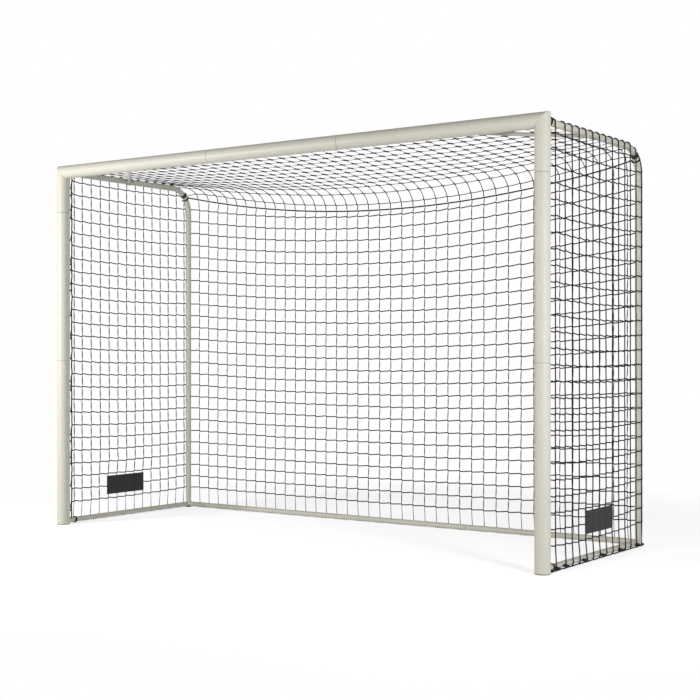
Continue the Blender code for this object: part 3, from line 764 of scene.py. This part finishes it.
def make_brackets():
    """The saddles under the side tubes, and the socket-head bolts."""
    radius, y = SADDLE_INNER + SADDLE_T / 2, POST_Y + BRACE_REACH
    for name, side in SIDES.items():
        path = arc(-SADDLE_HALF_ANGLE, SADDLE_HALF_ANGLE, 44,
                   lambda c, s: (side * (POST_X - radius * c), y, BAR_Z + radius * s))
        shape = Shape()
        shape.sweep(path, flat_section(SADDLE_LENGTH, SADDLE_T), Y_AXIS)
        saddle = shape.object(f"brace_saddle_{name}_clamp", BRACKET, smooth=50)
        end = Vector((side * POST_X, y, BRACE_Z))
        heading = Vector((side, 1, 0)).normalized()
        carve(saddle, [rod(end - heading * 0.027, end - heading * 0.070, 0.0072)], "UNION")
        bolt(f"brace_bolt_{name}", Vector((0, 0, -1)))
        bolt(f"side_bolt_{name}", Vector((-side, 0, 0)))


def bolt(name, outward):
    """A button-head bolt with a hexagon socket; its head looks outward."""
    length, head, head_t, dome, shank, socket = 0.010, 0.005, 0.003, 0.0022, 0.0028, 0.0018
    low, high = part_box(name)
    start = (low + high) / 2 - outward * length / 2
    profile = [(AXIS_R, 0.0), (shank - 0.0004, 0.0), (shank, 0.0004), (shank, length - head_t),
               (head, length - head_t), (head, length - dome)]
    profile += arc(0, 90, 6, lambda c, s: (head * c ** 0.6, length + dome * (s - 1)))[1:-1]
    profile.append((AXIS_R, length))
    item = turned(f"{name}_screw", profile, start, ZINC, outward, sides=36)
    tip = start + outward * length
    carve(item, [rod(tip - outward * 0.0016, tip + outward * 0.001, socket, 6)])


make_buttons(make_tubes())
make_feet()
make_brackets()


# Where the net lies

def bend_y(z):
    """The side tube's axis at this height on the bend or the upright."""
    return BEND_Y + chord(BEND_RADIUS, max(z - BEND_Z, 0.0))


def bend_z(y, out=0.0):
    """The height of the side tube's axis at y, or of a line this far outside it."""
    return BEND_Z + sqrt(max((BEND_RADIUS + out) ** 2 - max(y - BEND_Y, 0.0) ** 2, 0.0))


def middle(x):
    """1 in the goal's middle, falling to 0 at the posts."""
    return 1 - (x / POST_X) ** 2


def turn_in(x):
    """0 along most of the rear, rising to 1 at the uprights."""
    share = (abs(x) / POST_X - ROPE_TURN_IN) / (1 - ROPE_TURN_IN)
    return min(max(share, 0.0), 1.0)


def rope_point(x):
    """The tension rope behind the uprights: it hangs in an arc and turns in at the bends."""
    z = ROPE_END_Z - ROPE_SAG * middle(x)
    flat = UPRIGHT_Y + SIDE_R + GAP + ROPE_R
    reach = BEND_RADIUS + SIDE_R + GAP + ROPE_R
    curved = BEND_Y + chord(reach, max(z - BEND_Z, 0.0))
    share = turn_in(x)
    return vec(x, flat + (curved - flat) * share * share * (3 - 2 * share), z)


def rear_point(x, z):
    """A point of the rear net; it bellies out a little between the uprights."""
    flat = UPRIGHT_Y + SIDE_OUT
    curved = bend_y(z) + SIDE_OUT
    belly = 0.003 * sin(pi * min(max(z / 1.8, 0.0), 1.0)) * middle(x)
    return vec(x, flat + (curved - flat) * turn_in(x) + belly, z)


def rear_row_z(row, x):
    """The rear net's rows: the upper ones hang with the rope."""
    share = (x / POST_X) ** 2
    bottom = 0.113 + 0.009 * share
    top = 1.828 - 0.119 * (1 - share)
    dip = REAR_DIP * share * sin(pi * row / (REAR_ROWS - 1))
    return bottom + row * (top - bottom) / (REAR_ROWS - 1) - dip


def side_row_z(row, y, side):
    """A row of a side net; it comes down to the rear net's row at the upright."""
    share = (y - FRONT_Y) / (UPRIGHT_Y - FRONT_Y)
    level = ROW_START + ROW_PITCH * row - (RIGHT_DROP if side > 0 else 0.0)
    if row < REAR_ROWS:
        level += share * (rear_row_z(row, POST_X) - level)
    return level - SIDE_SAG[side] * 4 * share * (1 - share)


def roof_line(x):
    """The top net's line from the crossbar's back to the rope, as fine points."""
    start = BACK_Y + 0.002
    rope = rope_point(x) + vec(0.0, 0.0, ROPE_R + CORD_R)
    points = []
    for y in np.linspace(start, TOP_BROW_Y, 100):
        share = (y - start) / (FRONT_Y + TOP_LENGTH - start)
        dip = 0.006 * max(0.0, 1 - share / 0.08)
        points.append((x, y, bend_z(y, SIDE_OUT) - dip - TOP_SAG * middle(x) * share ** 1.15))
    back, drop = rope[1] - TOP_BROW_Y, points[-1][2] - rope[2]
    points += arc(0, 90, 30, lambda c, s: (x, TOP_BROW_Y + back * s, rope[2] + drop * c))[1:]
    return np.array(points)


def at_lengths(line, lengths):
    run = run_along(line)
    return np.stack([np.interp(lengths, run, line[:, axis]) for axis in range(3)], axis=1)


def roof_lengths(x):
    """How far along its line each row of the top net crosses a cord at x."""
    side = -1 if x < 0 else 1
    line = roof_line(side * POST_X)
    run = run_along(line)
    edge = [float(np.interp(place, line[:, 1], run)) for place in column_places(side)]
    if len(edge) < TOP_ROWS:
        edge.append(run[-1] - 0.012)
    edge = np.array(edge)
    return edge + (TOP_PITCH * np.arange(1, TOP_ROWS + 1) - edge) * middle(x)


def on_bend(side, angle):
    """The side tube's axis at this angle up its bend, and the ways outward and along there."""
    out = vec(0.0, cos(angle), sin(angle))
    along = vec(0.0, -sin(angle), cos(angle))
    return vec(side * POST_X, BEND_Y, BEND_Z) + BEND_RADIUS * out, out, along


def on_bend_skin(side, angle, turn):
    """On the bend this far up, turned these degrees from its outer side to the rear."""
    turn = radians(turn)
    centre, out, _ = on_bend(side, radians(angle))
    return centre + SIDE_OUT * sin(turn) * out + vec(side * SIDE_OUT * cos(turn), 0.0, 0.0)


def foot_of_cord(side, y):
    """A cord's foot: it passes over the rail's outer face to the rope under it."""
    return arc(-42, 20, 6, lambda c, s: (side * (POST_X + RAIL_OUT * c), y, RAIL_Z + RAIL_OUT * s))


# Cords of the net

def strand(knots, kink, sag=0.0, swell=0.0):
    """The line of a cord through its knots: it steps across each, and swells between them."""
    kink = np.asarray(kink, float)
    drop = vec(0.0, 0.0, -sag)
    line = [(*knots[0], 1 - swell)]
    for start, end in zip(knots, knots[1:]):
        way = end - start
        leave = unit(way) * KNOT_REACH + kink
        line += [(*(start + leave), 1 - swell),
                 (*(start + way * 0.35 + kink * 0.3 + drop), 1 + swell),
                 (*(start + way * 0.65 - kink * 0.3 + drop), 1 + swell),
                 (*(end - leave), 1 - swell)]
    line.append((*knots[-1], 1 - swell))
    return line


def plain(points):
    """Points of a cord that keeps its thickness."""
    return [(*point, 1.0) for point in points]


def add_knots(shape, places, radius=0.0015, scale=1.0):
    """Tie an overhand knot at each place, each turned its own way, looking outward."""
    turn = np.arange(16) * tau / 16
    tangle = 0.0011 * np.stack([
        np.sin(turn) + 2 * np.sin(2 * turn), np.cos(turn) - 2 * np.cos(2 * turn),
        -1.5 * np.sin(3 * turn),
    ], axis=1)
    for centre, outward in places:
        outward = Vector(outward).normalized()
        spin = Matrix.Rotation(RANDOM.uniform(0, tau), 3, "Z")
        size = RANDOM.uniform(0.9, 1.15) * scale
        matrix = np.array(outward.to_track_quat("Z", "Y").to_matrix() @ spin) * size
        shape.sweep(tangle @ matrix.T + centre, circle(radius, 5), outward, closed=True)


def stray(shares):
    """How far a crossing strays from its place, with a share of the jitter for each axis."""
    return RANDOM.uniform(-JITTER, JITTER, 3) * shares


def make_rear_net():
    """Rows from one side tube to the other, and thin cords from the rope down to the rail."""
    grid = {}
    for i, x in enumerate(COLUMN_XS):
        for row in range(REAR_ROWS):
            grid[i, row] = rear_point(x, rear_row_z(row, x)) + stray([1, 0.6, 1])
    rows, columns, knots = Shape(), Shape(), Shape()
    for row in range(REAR_ROWS):
        z = rear_row_z(row, POST_X)
        left, right = (arc(0, 90, 6, lambda c, s: (side * (POST_X + SIDE_OUT * c),
                                                   bend_y(z) + SIDE_OUT * s, z))
                       for side in (-1, 1))
        crossings = [grid[i, row] for i in range(COLUMNS)]
        line = plain(left[:-1]) + strand([left[-1]] + crossings, (0, 0, -KINK), 0.0005)
        line += strand([crossings[-1], right[-1]], (0, 0, -KINK), 0.0005)[1:]
        rows.cord(line + plain(right[-2::-1]), CORD_R, Z_AXIS)
    for i, x in enumerate(COLUMN_XS):
        rope = rope_point(x)
        start = rope + [0.0, ROPE_R + CORD_R * 0.6, 0.0]
        top = [grid[i, row] for row in range(REAR_ROWS - 1, -1, -1)
               if grid[i, row][2] < rope[2] - 0.012]
        foot = arc(20, -55, 6, lambda c, s: (x + 0.007, UPRIGHT_Y + RAIL_OUT * c,
                                             RAIL_Z + RAIL_OUT * s))
        line = strand([start] + top, (KINK * 0.4, 0, 0), swell=SWELL) + plain(foot)
        columns.cord(line, THIN_CORD_R, X_AXIS, 7)
        places = [(p, (0, 1, 0)) for p in top] + [(foot[-1], (0, 1, -1)), (start, (0, 1, 0.3))]
        add_knots(knots, places)
    rows.object("net_rear_rows", CORD)
    columns.object("net_rear_columns", CORD)
    knots.object("net_rear_knots", CORD)


def make_side_net(name, side):
    """Rows from the post back round to the upright, and cords that loop over the side tube."""
    x = side * (POST_X + SIDE_OUT)
    ys = column_places(side)
    lean = 0.016 if side > 0 else -0.011
    radius, swell = (CORD_R, 0.0) if side > 0 else (THIN_CORD_R, LEFT_SWELL)
    low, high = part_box(f"label_patch_{name}")
    label_x = abs(low.x + high.x) / 2
    beside = label_x - CORD_R - 0.0016 if side > 0 else label_x + CORD_R + 0.0032
    grid, under_label = {}, set()
    for i, y in enumerate(ys):
        for row in range(SIDE_ROWS):
            z = side_row_z(row, y, side)
            if z >= bend_z(y) - 0.01:
                continue
            grid[i, row] = vec(x, y, z) + stray([0.2, 1, 1])
            beyond = max(low.y - y, y - high.y, low.z - z, z - high.z)
            if beyond < ROW_PITCH:
                grid[i, row][0] = side * beside
            if side > 0 and beyond < 0.0:
                under_label.add((i, row))
    cords, knots = Shape(), Shape()
    for row in range(SIDE_ROWS):
        start = vec(side * LASH_X, LASH_Y + 0.004, side_row_z(row, LASH_Y, side))
        end_z = side_row_z(row, UPRIGHT_Y, side)
        line = [start] + [grid[i, row] for i in range(len(ys)) if (i, row) in grid]
        line.append(vec(x, bend_y(end_z), end_z))
        cords.cord(strand(line, (0, 0, KINK), 0.0005), CORD_R, Z_AXIS)
    for i, y in enumerate(ys):
        column = [(i, row) for row in range(SIDE_ROWS) if (i, row) in grid]
        foot = foot_of_cord(side, y + lean)
        axis_z = bend_z(y)
        rise = bend_z(y, SIDE_OUT) - axis_z
        over = arc(0, 90, 8, lambda c, s: (side * (POST_X + SIDE_OUT * c), y, axis_z + rise * s))
        crossings = [grid[spot] for spot in column]
        line = plain(foot) + strand(crossings + over[:1], (0, KINK * 0.4, 0), swell=swell)
        cords.cord(line + plain(over[1:]), radius, Y_AXIS)
        tied = [(grid[spot], (side, 0, 0)) for spot in column if spot not in under_label]
        add_knots(knots, tied + [(foot[0], (side, 0, -1)), (over[-1], (0, 0, 1))])
    rows = [side_row_z(row, UPRIGHT_Y, side) for row in range(REAR_ROWS)]
    edge = [vec(x, bend_y(z), z) for z in rows]
    edge += [on_bend_skin(side, angle, angle * 0.8) for angle in (12, 20, 28, 36, 44)]
    foot = plain(foot_of_cord(side, UPRIGHT_Y + 0.002))
    cords.cord(foot + strand(edge, (0, KINK * 0.4, 0)), CORD_R, Y_AXIS)
    add_knots(knots, [(p, (side, 0.4, 0)) for p in edge[:-4]])
    cords.object(f"net_side_{name}_cords", CORD)
    knots.object(f"net_side_{name}_knots", CORD)


def roof_cord(line, stations, shifts):
    """A cord of the top net: it follows its line and steps across each knot."""
    total = run_along(line)[-1]
    stops = np.concatenate([[0.0], stations, [total]])
    shifts = np.vstack([np.zeros(3), shifts, np.zeros(3)])
    path = [(*line[0], 1 - TOP_SWELL)]
    for start, end, before, after in zip(stops, stops[1:], shifts, shifts[1:]):
        reach = KNOT_REACH / (end - start)
        bends = [(reach, 0.4, -1), (0.3, 0.15, 1), (0.5, 0.0, 1), (0.7, -0.15, 1),
                 (1 - reach, -0.4, -1)]
        for share, step, size in bends:
            run = start + share * (end - start)
            swell = TOP_SWELL * (1 - (run / total) ** 6)
            point = at_lengths(line, [run])[0] + (1 - share) * before + share * after
            path.append((point[0] + KINK * step, point[1], point[2], 1 + swell * size))
    path.append((*line[-1], 1.0))
    return np.array(path)


def make_top_net():
    """Cords from the crossbar to the rope, and rows from one side tube to the other."""
    cords, knots = Shape(), Shape()
    crossings = []
    for x in COLUMN_XS:
        line, stations = roof_line(x), roof_lengths(x)
        places = at_lengths(line, stations)
        crossings.append([place + stray([1, 1, 0.6]) for place in places])
        cord = roof_cord(line, stations, np.array(crossings[-1]) - places)
        cord[:, 3] *= 1 + 0.25 * np.linspace(0.0, 1.0, len(cord)) ** 4
        cords.cord(cord, TOP_CORD_R, X_AXIS, 7)
        add_knots(knots, [(p, Z_AXIS) for p in crossings[-1]], 0.0011, 0.75)
    edges = [at_lengths(roof_line(x), roof_lengths(x)) for x in (-POST_X, POST_X)]
    for row in range(TOP_ROWS):
        left, right = (np.array([*place[row][:2], bend_z(place[row][1], SIDE_OUT)])
                       for place in edges)
        swell = TOP_SWELL * (1 - (row / (TOP_ROWS - 1)) ** 6)
        line = strand([left] + [column[row] for column in crossings] + [right],
                      (0, KINK * 0.3, -KINK * 0.3), 0.001, swell)
        cords.cord(line, TOP_CORD_R, Y_AXIS)
    cords.object("net_top_cords", CORD)
    knots.object("net_top_knots", CORD)


# Ropes, lashings, ties and straps

def make_rope():
    """The tension rope, wrapped round each bend and hitched to itself."""
    shape = Shape()
    for side in (-1, 1):
        end = rope_point(side * POST_X)
        centre, _, along = on_bend(side, atan2(end[2] - BEND_Z, end[1] - BEND_Y))
        shape.wind(centre, along, SIDE_R + ROPE_R, 1.0, 0.004, ROPE_R, 8, X_AXIS)
        shape.wind(end + [0.0, 0.001, 0.0], (side, 0.0, 0.2), ROPE_R + 0.0012, 3.0, 0.011, 0.0018)
    line = [rope_point(x) for x in np.linspace(-POST_X, POST_X, 121)]
    shape.cord(line, ROPE_R, Y_AXIS, 10)
    shape.object("tension_rope_braid", ROPE)


def make_foot_rope():
    """The rope along the foot of the net, under the outside of the ground rails."""
    corner = 0.010
    ys = np.linspace(BACK_Y + 0.004, FOOT_Y - corner, 90)
    left, right = ([(side * FOOT_X, y, FOOT_Z) for y in ys]
                   + arc(0, 90, 8, lambda c, s: (side * (FOOT_X - corner + corner * c),
                                                 FOOT_Y - corner + corner * s, FOOT_Z))[1:-1]
                   for side in (-1, 1))
    rear = [(x, FOOT_Y, FOOT_Z) for x in np.linspace(corner - FOOT_X, FOOT_X - corner, 160)]
    line = np.array(left + rear + right[::-1])
    line[:, 2] += 0.0006 * np.sin(np.arange(len(line)) * 0.9)
    shape = Shape()
    shape.cord(line, FOOT_ROPE_R, Z_AXIS)
    shape.object("net_foot_rope", ROPE, ["net_side_left", "net_side_right"])


def wound_tie(shape, start, end, radius, cord=0.0022):
    """Cord wound in a tight lump from one point to another."""
    way = np.asarray(end) - start
    length = np.linalg.norm(way)
    line = coil((np.asarray(start) + end) / 2, way, radius, length / 0.0042, length)
    swollen = 0.75 + 0.35 * np.sin(np.linspace(0.15, pi - 0.15, len(line)))
    core = np.linspace(start, end, len(line))
    shape.cord(core + (line - core) * swollen[:, None], cord, way, 7)
    shape.cord(core, radius * 0.8, Z_AXIS)


def make_ties():
    """Knotted ties of cord that hold the foot rope to the rails."""
    shape = Shape()
    places = [(1, reach) for reach in (0.136, 0.224, 0.417, 0.609, 0.812, 1.013)]
    for side, reach in places + [(-1, 0.125)]:
        y = FRONT_Y + reach
        start = vec(side * (POST_X + RAIL_R + 0.0050), y - 0.021, RAIL_Z - 0.001)
        end = vec(side * FOOT_X, y + 0.021, FOOT_Z + 0.004)
        wound_tie(shape, start, end, 0.0044, 0.0027)
        shape.wind(end + [0.0, 0.004, 0.0], (0.0, 1.0, 0.3), FOOT_ROPE_R + 0.0016, 1.6, 0.006,
                   0.0018)
    for side in (-1, 1):
        band = (side * POST_X, FRONT_Y + 0.118, RAIL_Z)
        shape.wind(band, Y_AXIS, RAIL_R + 0.0020, 3.4, 0.012, 0.0020)
        front = vec(side * FOOT_X, BACK_Y + 0.004, FOOT_Z + 0.004)
        wound_tie(shape, front, front + [0.0, 0.026, -0.002], 0.0042, 0.0026)
        corner = vec(side * (FOOT_X - 0.004), FOOT_Y - 0.006, FOOT_Z + 0.004)
        wound_tie(shape, corner, corner + [side * 0.004, 0.009, -0.001], 0.0036)
    shape.object("net_foot_ties", CORD, ["net_side_left", "net_side_right"])


def make_lashings():
    """The net's front edges: a slack lacing behind each post, and one along the crossbar."""
    shape = Shape()
    zs = np.linspace(0.030, BAR_Z - 0.030, 420)
    waves = ((1.0, 1.9), (0.6, 0.83), (0.5, 4.7))
    for side in (-1, 1):
        phases = RANDOM.uniform(0, tau, 3)
        slack = sum(size * np.sin(tau * zs / (pitches * ROW_PITCH) + phase)
                    for (size, pitches), phase in zip(waves, phases)) / 2.1
        near = np.clip(-slack, 0.0, 1.0)
        line = np.stack([np.full(len(zs), side * LASH_X), LASH_Y + 0.004 * slack, zs,
                         0.95 + 0.55 * near], axis=1)
        shape.cord(line, 0.0036, Y_AXIS)
        place = 0
        while place < len(zs) - 8:
            if near[place] > 0.25 and near[place] >= near[max(place - 1, 0)]:
                grip = vec(side * LASH_X, POST_Y + 0.0352, zs[place])
                wound_tie(shape, grip, line[place, :3], 0.0024)
                place += 6
            place += 1
    y, z = BACK_Y + 0.0010, BAR_Z + 0.0125
    xs = np.linspace(-POST_X + SIDE_R, POST_X - SIDE_R, 480)
    wave = 0.0018 * np.sin(tau * (xs - COLUMN_START) / COLUMN_PITCH) ** 2
    shape.cord(np.stack([xs, y + wave * 0.4, z - wave], axis=1), 0.0021, Y_AXIS)
    for x in COLUMN_XS:
        shape.wind((x, y, z), X_AXIS, 0.0033, 2.6, 0.010, 0.0016, 6)
    shape.object("net_edge_lashings", CORD, ["net_top"])


def make_corner_knots():
    """Behind each top corner the lacing ends in a loose ring of rope round the side tube."""
    shape = Shape()
    for side in (-1, 1):
        centre = vec(side * (POST_X + 0.002), FRONT_Y + 0.083, BAR_Z)
        shape.wind(centre, Y_AXIS, SIDE_R + 0.0062, 1.9, 0.010, 0.0028, 8)
        first = (side * (POST_X + 0.0172), column_places(side)[0], BAR_Z + 0.012)
        along = [centre + [side * 0.0200, 0.004, 0.008], centre + [side * 0.0190, 0.016, 0.011],
                 first]
        shape.cord(smooth_line(along, 6), 0.0026, Z_AXIS)
        drop = [centre + [0.0, 0.002, -SIDE_R - 0.004],
                (side * (LASH_X + 0.004), LASH_Y + 0.004, BAR_Z - 0.028),
                (side * LASH_X, LASH_Y, BAR_Z - 0.045)]
        shape.cord(smooth_line(drop, 6), 0.0025, Y_AXIS)
    shape.object("net_corner_knots", CORD, ["net_top"])


def smooth_line(points, steps):
    """More points along a line, on a curve through the given ones."""
    points = np.asarray(points, float)
    padded = np.vstack([2 * points[0] - points[1], points, 2 * points[-1] - points[-2]])
    out = []
    for a, b, c, d in zip(padded, padded[1:], padded[2:], padded[3:]):
        for t in np.arange(steps) / steps:
            out.append(0.5 * (2 * b + (c - a) * t + (2 * a - 5 * b + 4 * c - d) * t ** 2
                              + (3 * b - a - 3 * c + d) * t ** 3))
    return np.array(out + [points[-1]])


def make_straps():
    """A webbing strap round each bend, wound a little over once, with a short tail."""
    width, thickness, turns = 0.019, 0.0014, 1.3
    for name, side in SIDES.items():
        centre, out, along = on_bend(side, STRAP_ANGLE)
        line = []
        for turn in np.linspace(0.0, turns, 61):
            angle = tau * turn
            radius = SIDE_R + 0.0010 + 0.0016 * max(0.0, turn - 0.8) / 0.4
            line.append(centre + radius * (sin(angle) * np.array(X_AXIS) - cos(angle) * out))
        tail = unit(line[-1] - line[-2]) - 0.35 * out
        line += [line[-1] + tail * reach for reach in (0.004, 0.008, 0.012)]
        shape = Shape()
        shape.sweep(line, flat_section(width, thickness), along)
        # The share round the strip in metres, so that its weave is square
        shape.uvs = [uv * (2 * width, 1.0) for uv in shape.uvs]
        shape.object(f"bend_strap_{name}", WEBBING, ["tension_rope"], smooth=60)


# Label patches

def make_patches():
    """A bare cloth label on each side net: a folded hem all round and a line of stitches."""
    hem, columns, rows = 0.009, 120, 44
    stitch_pitch, stitch_half, stitch_inset, thread_r = 0.0042, 0.0014, 0.007, 0.00035
    for name, side in SIDES.items():
        low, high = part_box(f"label_patch_{name}")
        width, height = high.y - low.y, high.z - low.z
        phase = RANDOM.uniform(0, 6, 3)

        def surface(y, z, lift=0.0):
            u, v = (y - low.y) / width, (z - low.z) / height
            ripple = 0.0007 * sin(9 * u + phase[0]) * sin(4 * v + phase[1])
            dimple = 0.0004 * sin(tau * (y - FRONT_Y) / ROW_PITCH)
            inset = min(y - low.y, high.y - y, z - low.z, high.z - z)
            fold = 0.0006 * (1 - min(max((inset - hem) / 0.0015, 0.0), 1.0))
            pucker = 0.00015 * cos(tau * (y + z) / 0.006) if inset < hem else 0.0
            out = ripple + dimple + fold + pucker + lift
            return (low.x + high.x) / 2 + side * out, y, z

        points = [surface(y, z) for z in np.linspace(low.z, high.z, rows + 1)
                  for y in np.linspace(low.y, high.y, columns + 1)]
        first = (np.arange(rows)[:, None] * (columns + 1) + np.arange(columns)).ravel()
        quads = np.stack([first + step for step in (0, 1, columns + 2, columns + 1)], 1)[:, ::side]
        mesh = bpy.data.meshes.new(f"label_patch_{name}_cloth")
        mesh.from_pydata(points, [], quads.tolist())
        uvs = np.array(points)[quads.ravel(), 1:]
        mesh.uv_layers.new(name="length").data.foreach_set("uv", uvs.ravel())
        cloth = finish_piece(f"label_patch_{name}_cloth", mesh, CLOTH)
        solid = cloth.modifiers.new("thickness", "SOLIDIFY")
        solid.thickness = 0.0008
        solid.offset = -1.0

        inward = Vector((0, 1, 1)) * stitch_inset
        near, far = low + inward, high - inward
        places = [(y, z, 1, 0) for y in np.arange(near.y, far.y, stitch_pitch)
                  for z in (near.z, far.z)]
        places += [(y, z, 0, 1) for z in np.arange(near.z, far.z, stitch_pitch)
                   for y in (near.y, far.y)]
        stitches = Shape()
        for y, z, dy, dz in places:
            line = []
            for reach in np.linspace(-stitch_half, stitch_half, 5):
                lift = 0.0003 * cos(reach / stitch_half * pi / 2)
                line.append(surface(y + dy * reach, z + dz * reach, lift))
            stitches.cord(line, thread_r, (side, 0, 0), 5)
        thread = stitches.object(f"label_patch_{name}_stitches", THREAD)


make_rear_net()
for side_name, side_sign in SIDES.items():
    make_side_net(side_name, side_sign)
make_top_net()
make_rope()
make_foot_rope()
make_ties()
make_lashings()
make_corner_knots()
make_straps()
make_patches()


# Materials of the CAD pieces that stay: the sleeves and stubs inside the tubes

for node_name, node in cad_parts.items():
    if node.hide_render:
        continue
    material = ZINC if "sleeve" in node_name else PAINT
    node.data.materials.clear()
    node.data.materials.append(material)


# Floor, world and lamps

WHITE = (1.0, 1.0, 1.0, 1.0)


def make_floor():
    """A pale floor that keeps the goal's shadow and fades into white round it."""
    bm = bmesh.new()
    bmesh.ops.create_grid(bm, x_segments=8, y_segments=8, size=14.0)
    floor = new_object("floor", mesh_of(bm, "floor"))
    floor.location.z = -0.0002
    paper = new_material("pale_floor", (0.82, 0.82, 0.82), 0.9)
    bare = paper.shader.outputs[0]
    far = paper.add("VectorMath", {0: paper.place()}, out=1, operation="LENGTH")
    white = paper.add("Emission", {"Color": WHITE, "Strength": 1.0})
    glow = paper.add("Emission", {"Color": WHITE, "Strength": 0.64})
    near = paper.add("AddShader", {0: bare, 1: glow})
    blend = paper.add("MixShader", {0: paper.between(far, 1.9, 3.2), 1: near, 2: white})
    seen = paper.rays("Camera", "Glossy", "Transmission")
    final = paper.add("MixShader", {0: seen, 1: bare, 2: blend})
    paper.set(paper.tree.nodes["Material Output"], {"Surface": final})
    floor.data.materials.append(paper.block)


def make_world():
    """White behind the goal, and for its light a sky that is brightest near the ground."""
    studio = Nodes(bpy.data.worlds.new("studio"))
    bpy.context.scene.world = studio.block
    upward = studio.add("SeparateXYZ", {0: studio.add("TexCoord")}, out=2)
    shade = studio.between(upward, 0.05, 0.75, 1.00, 0.08)
    sky = studio.add("Background", {"Color": WHITE, "Strength": shade})
    white = studio.add("Background", {"Color": WHITE, "Strength": 1.0})
    final = studio.add("MixShader", {0: studio.rays("Camera", "Transmission"), 1: sky, 2: white})
    studio.set(studio.tree.nodes["World Output"], {"Surface": final})
    studio.tree.nodes.remove(studio.tree.nodes["Background"])


def lamp(name, place, aim, size, power):
    data = bpy.data.lights.new(name, "AREA")
    data.shape = "RECTANGLE"
    data.size, data.size_y = size
    data.energy = power
    item = new_object(name, data)
    item.location = place
    item.rotation_euler = (Vector(aim) - Vector(place)).to_track_quat("-Z", "Y").to_euler()


make_floor()
make_world()
lamp("key_left", (-2.3, -3.0, 1.45), (-1.4, -0.5, 1.45), (0.6, 0.9), 60.0)
lamp("fill_right", (3.3, -1.6, 1.25), (1.5, -0.5, 1.1), (0.4, 1.8), 29.0)
bpy.context.scene.view_settings.view_transform = "Standard"
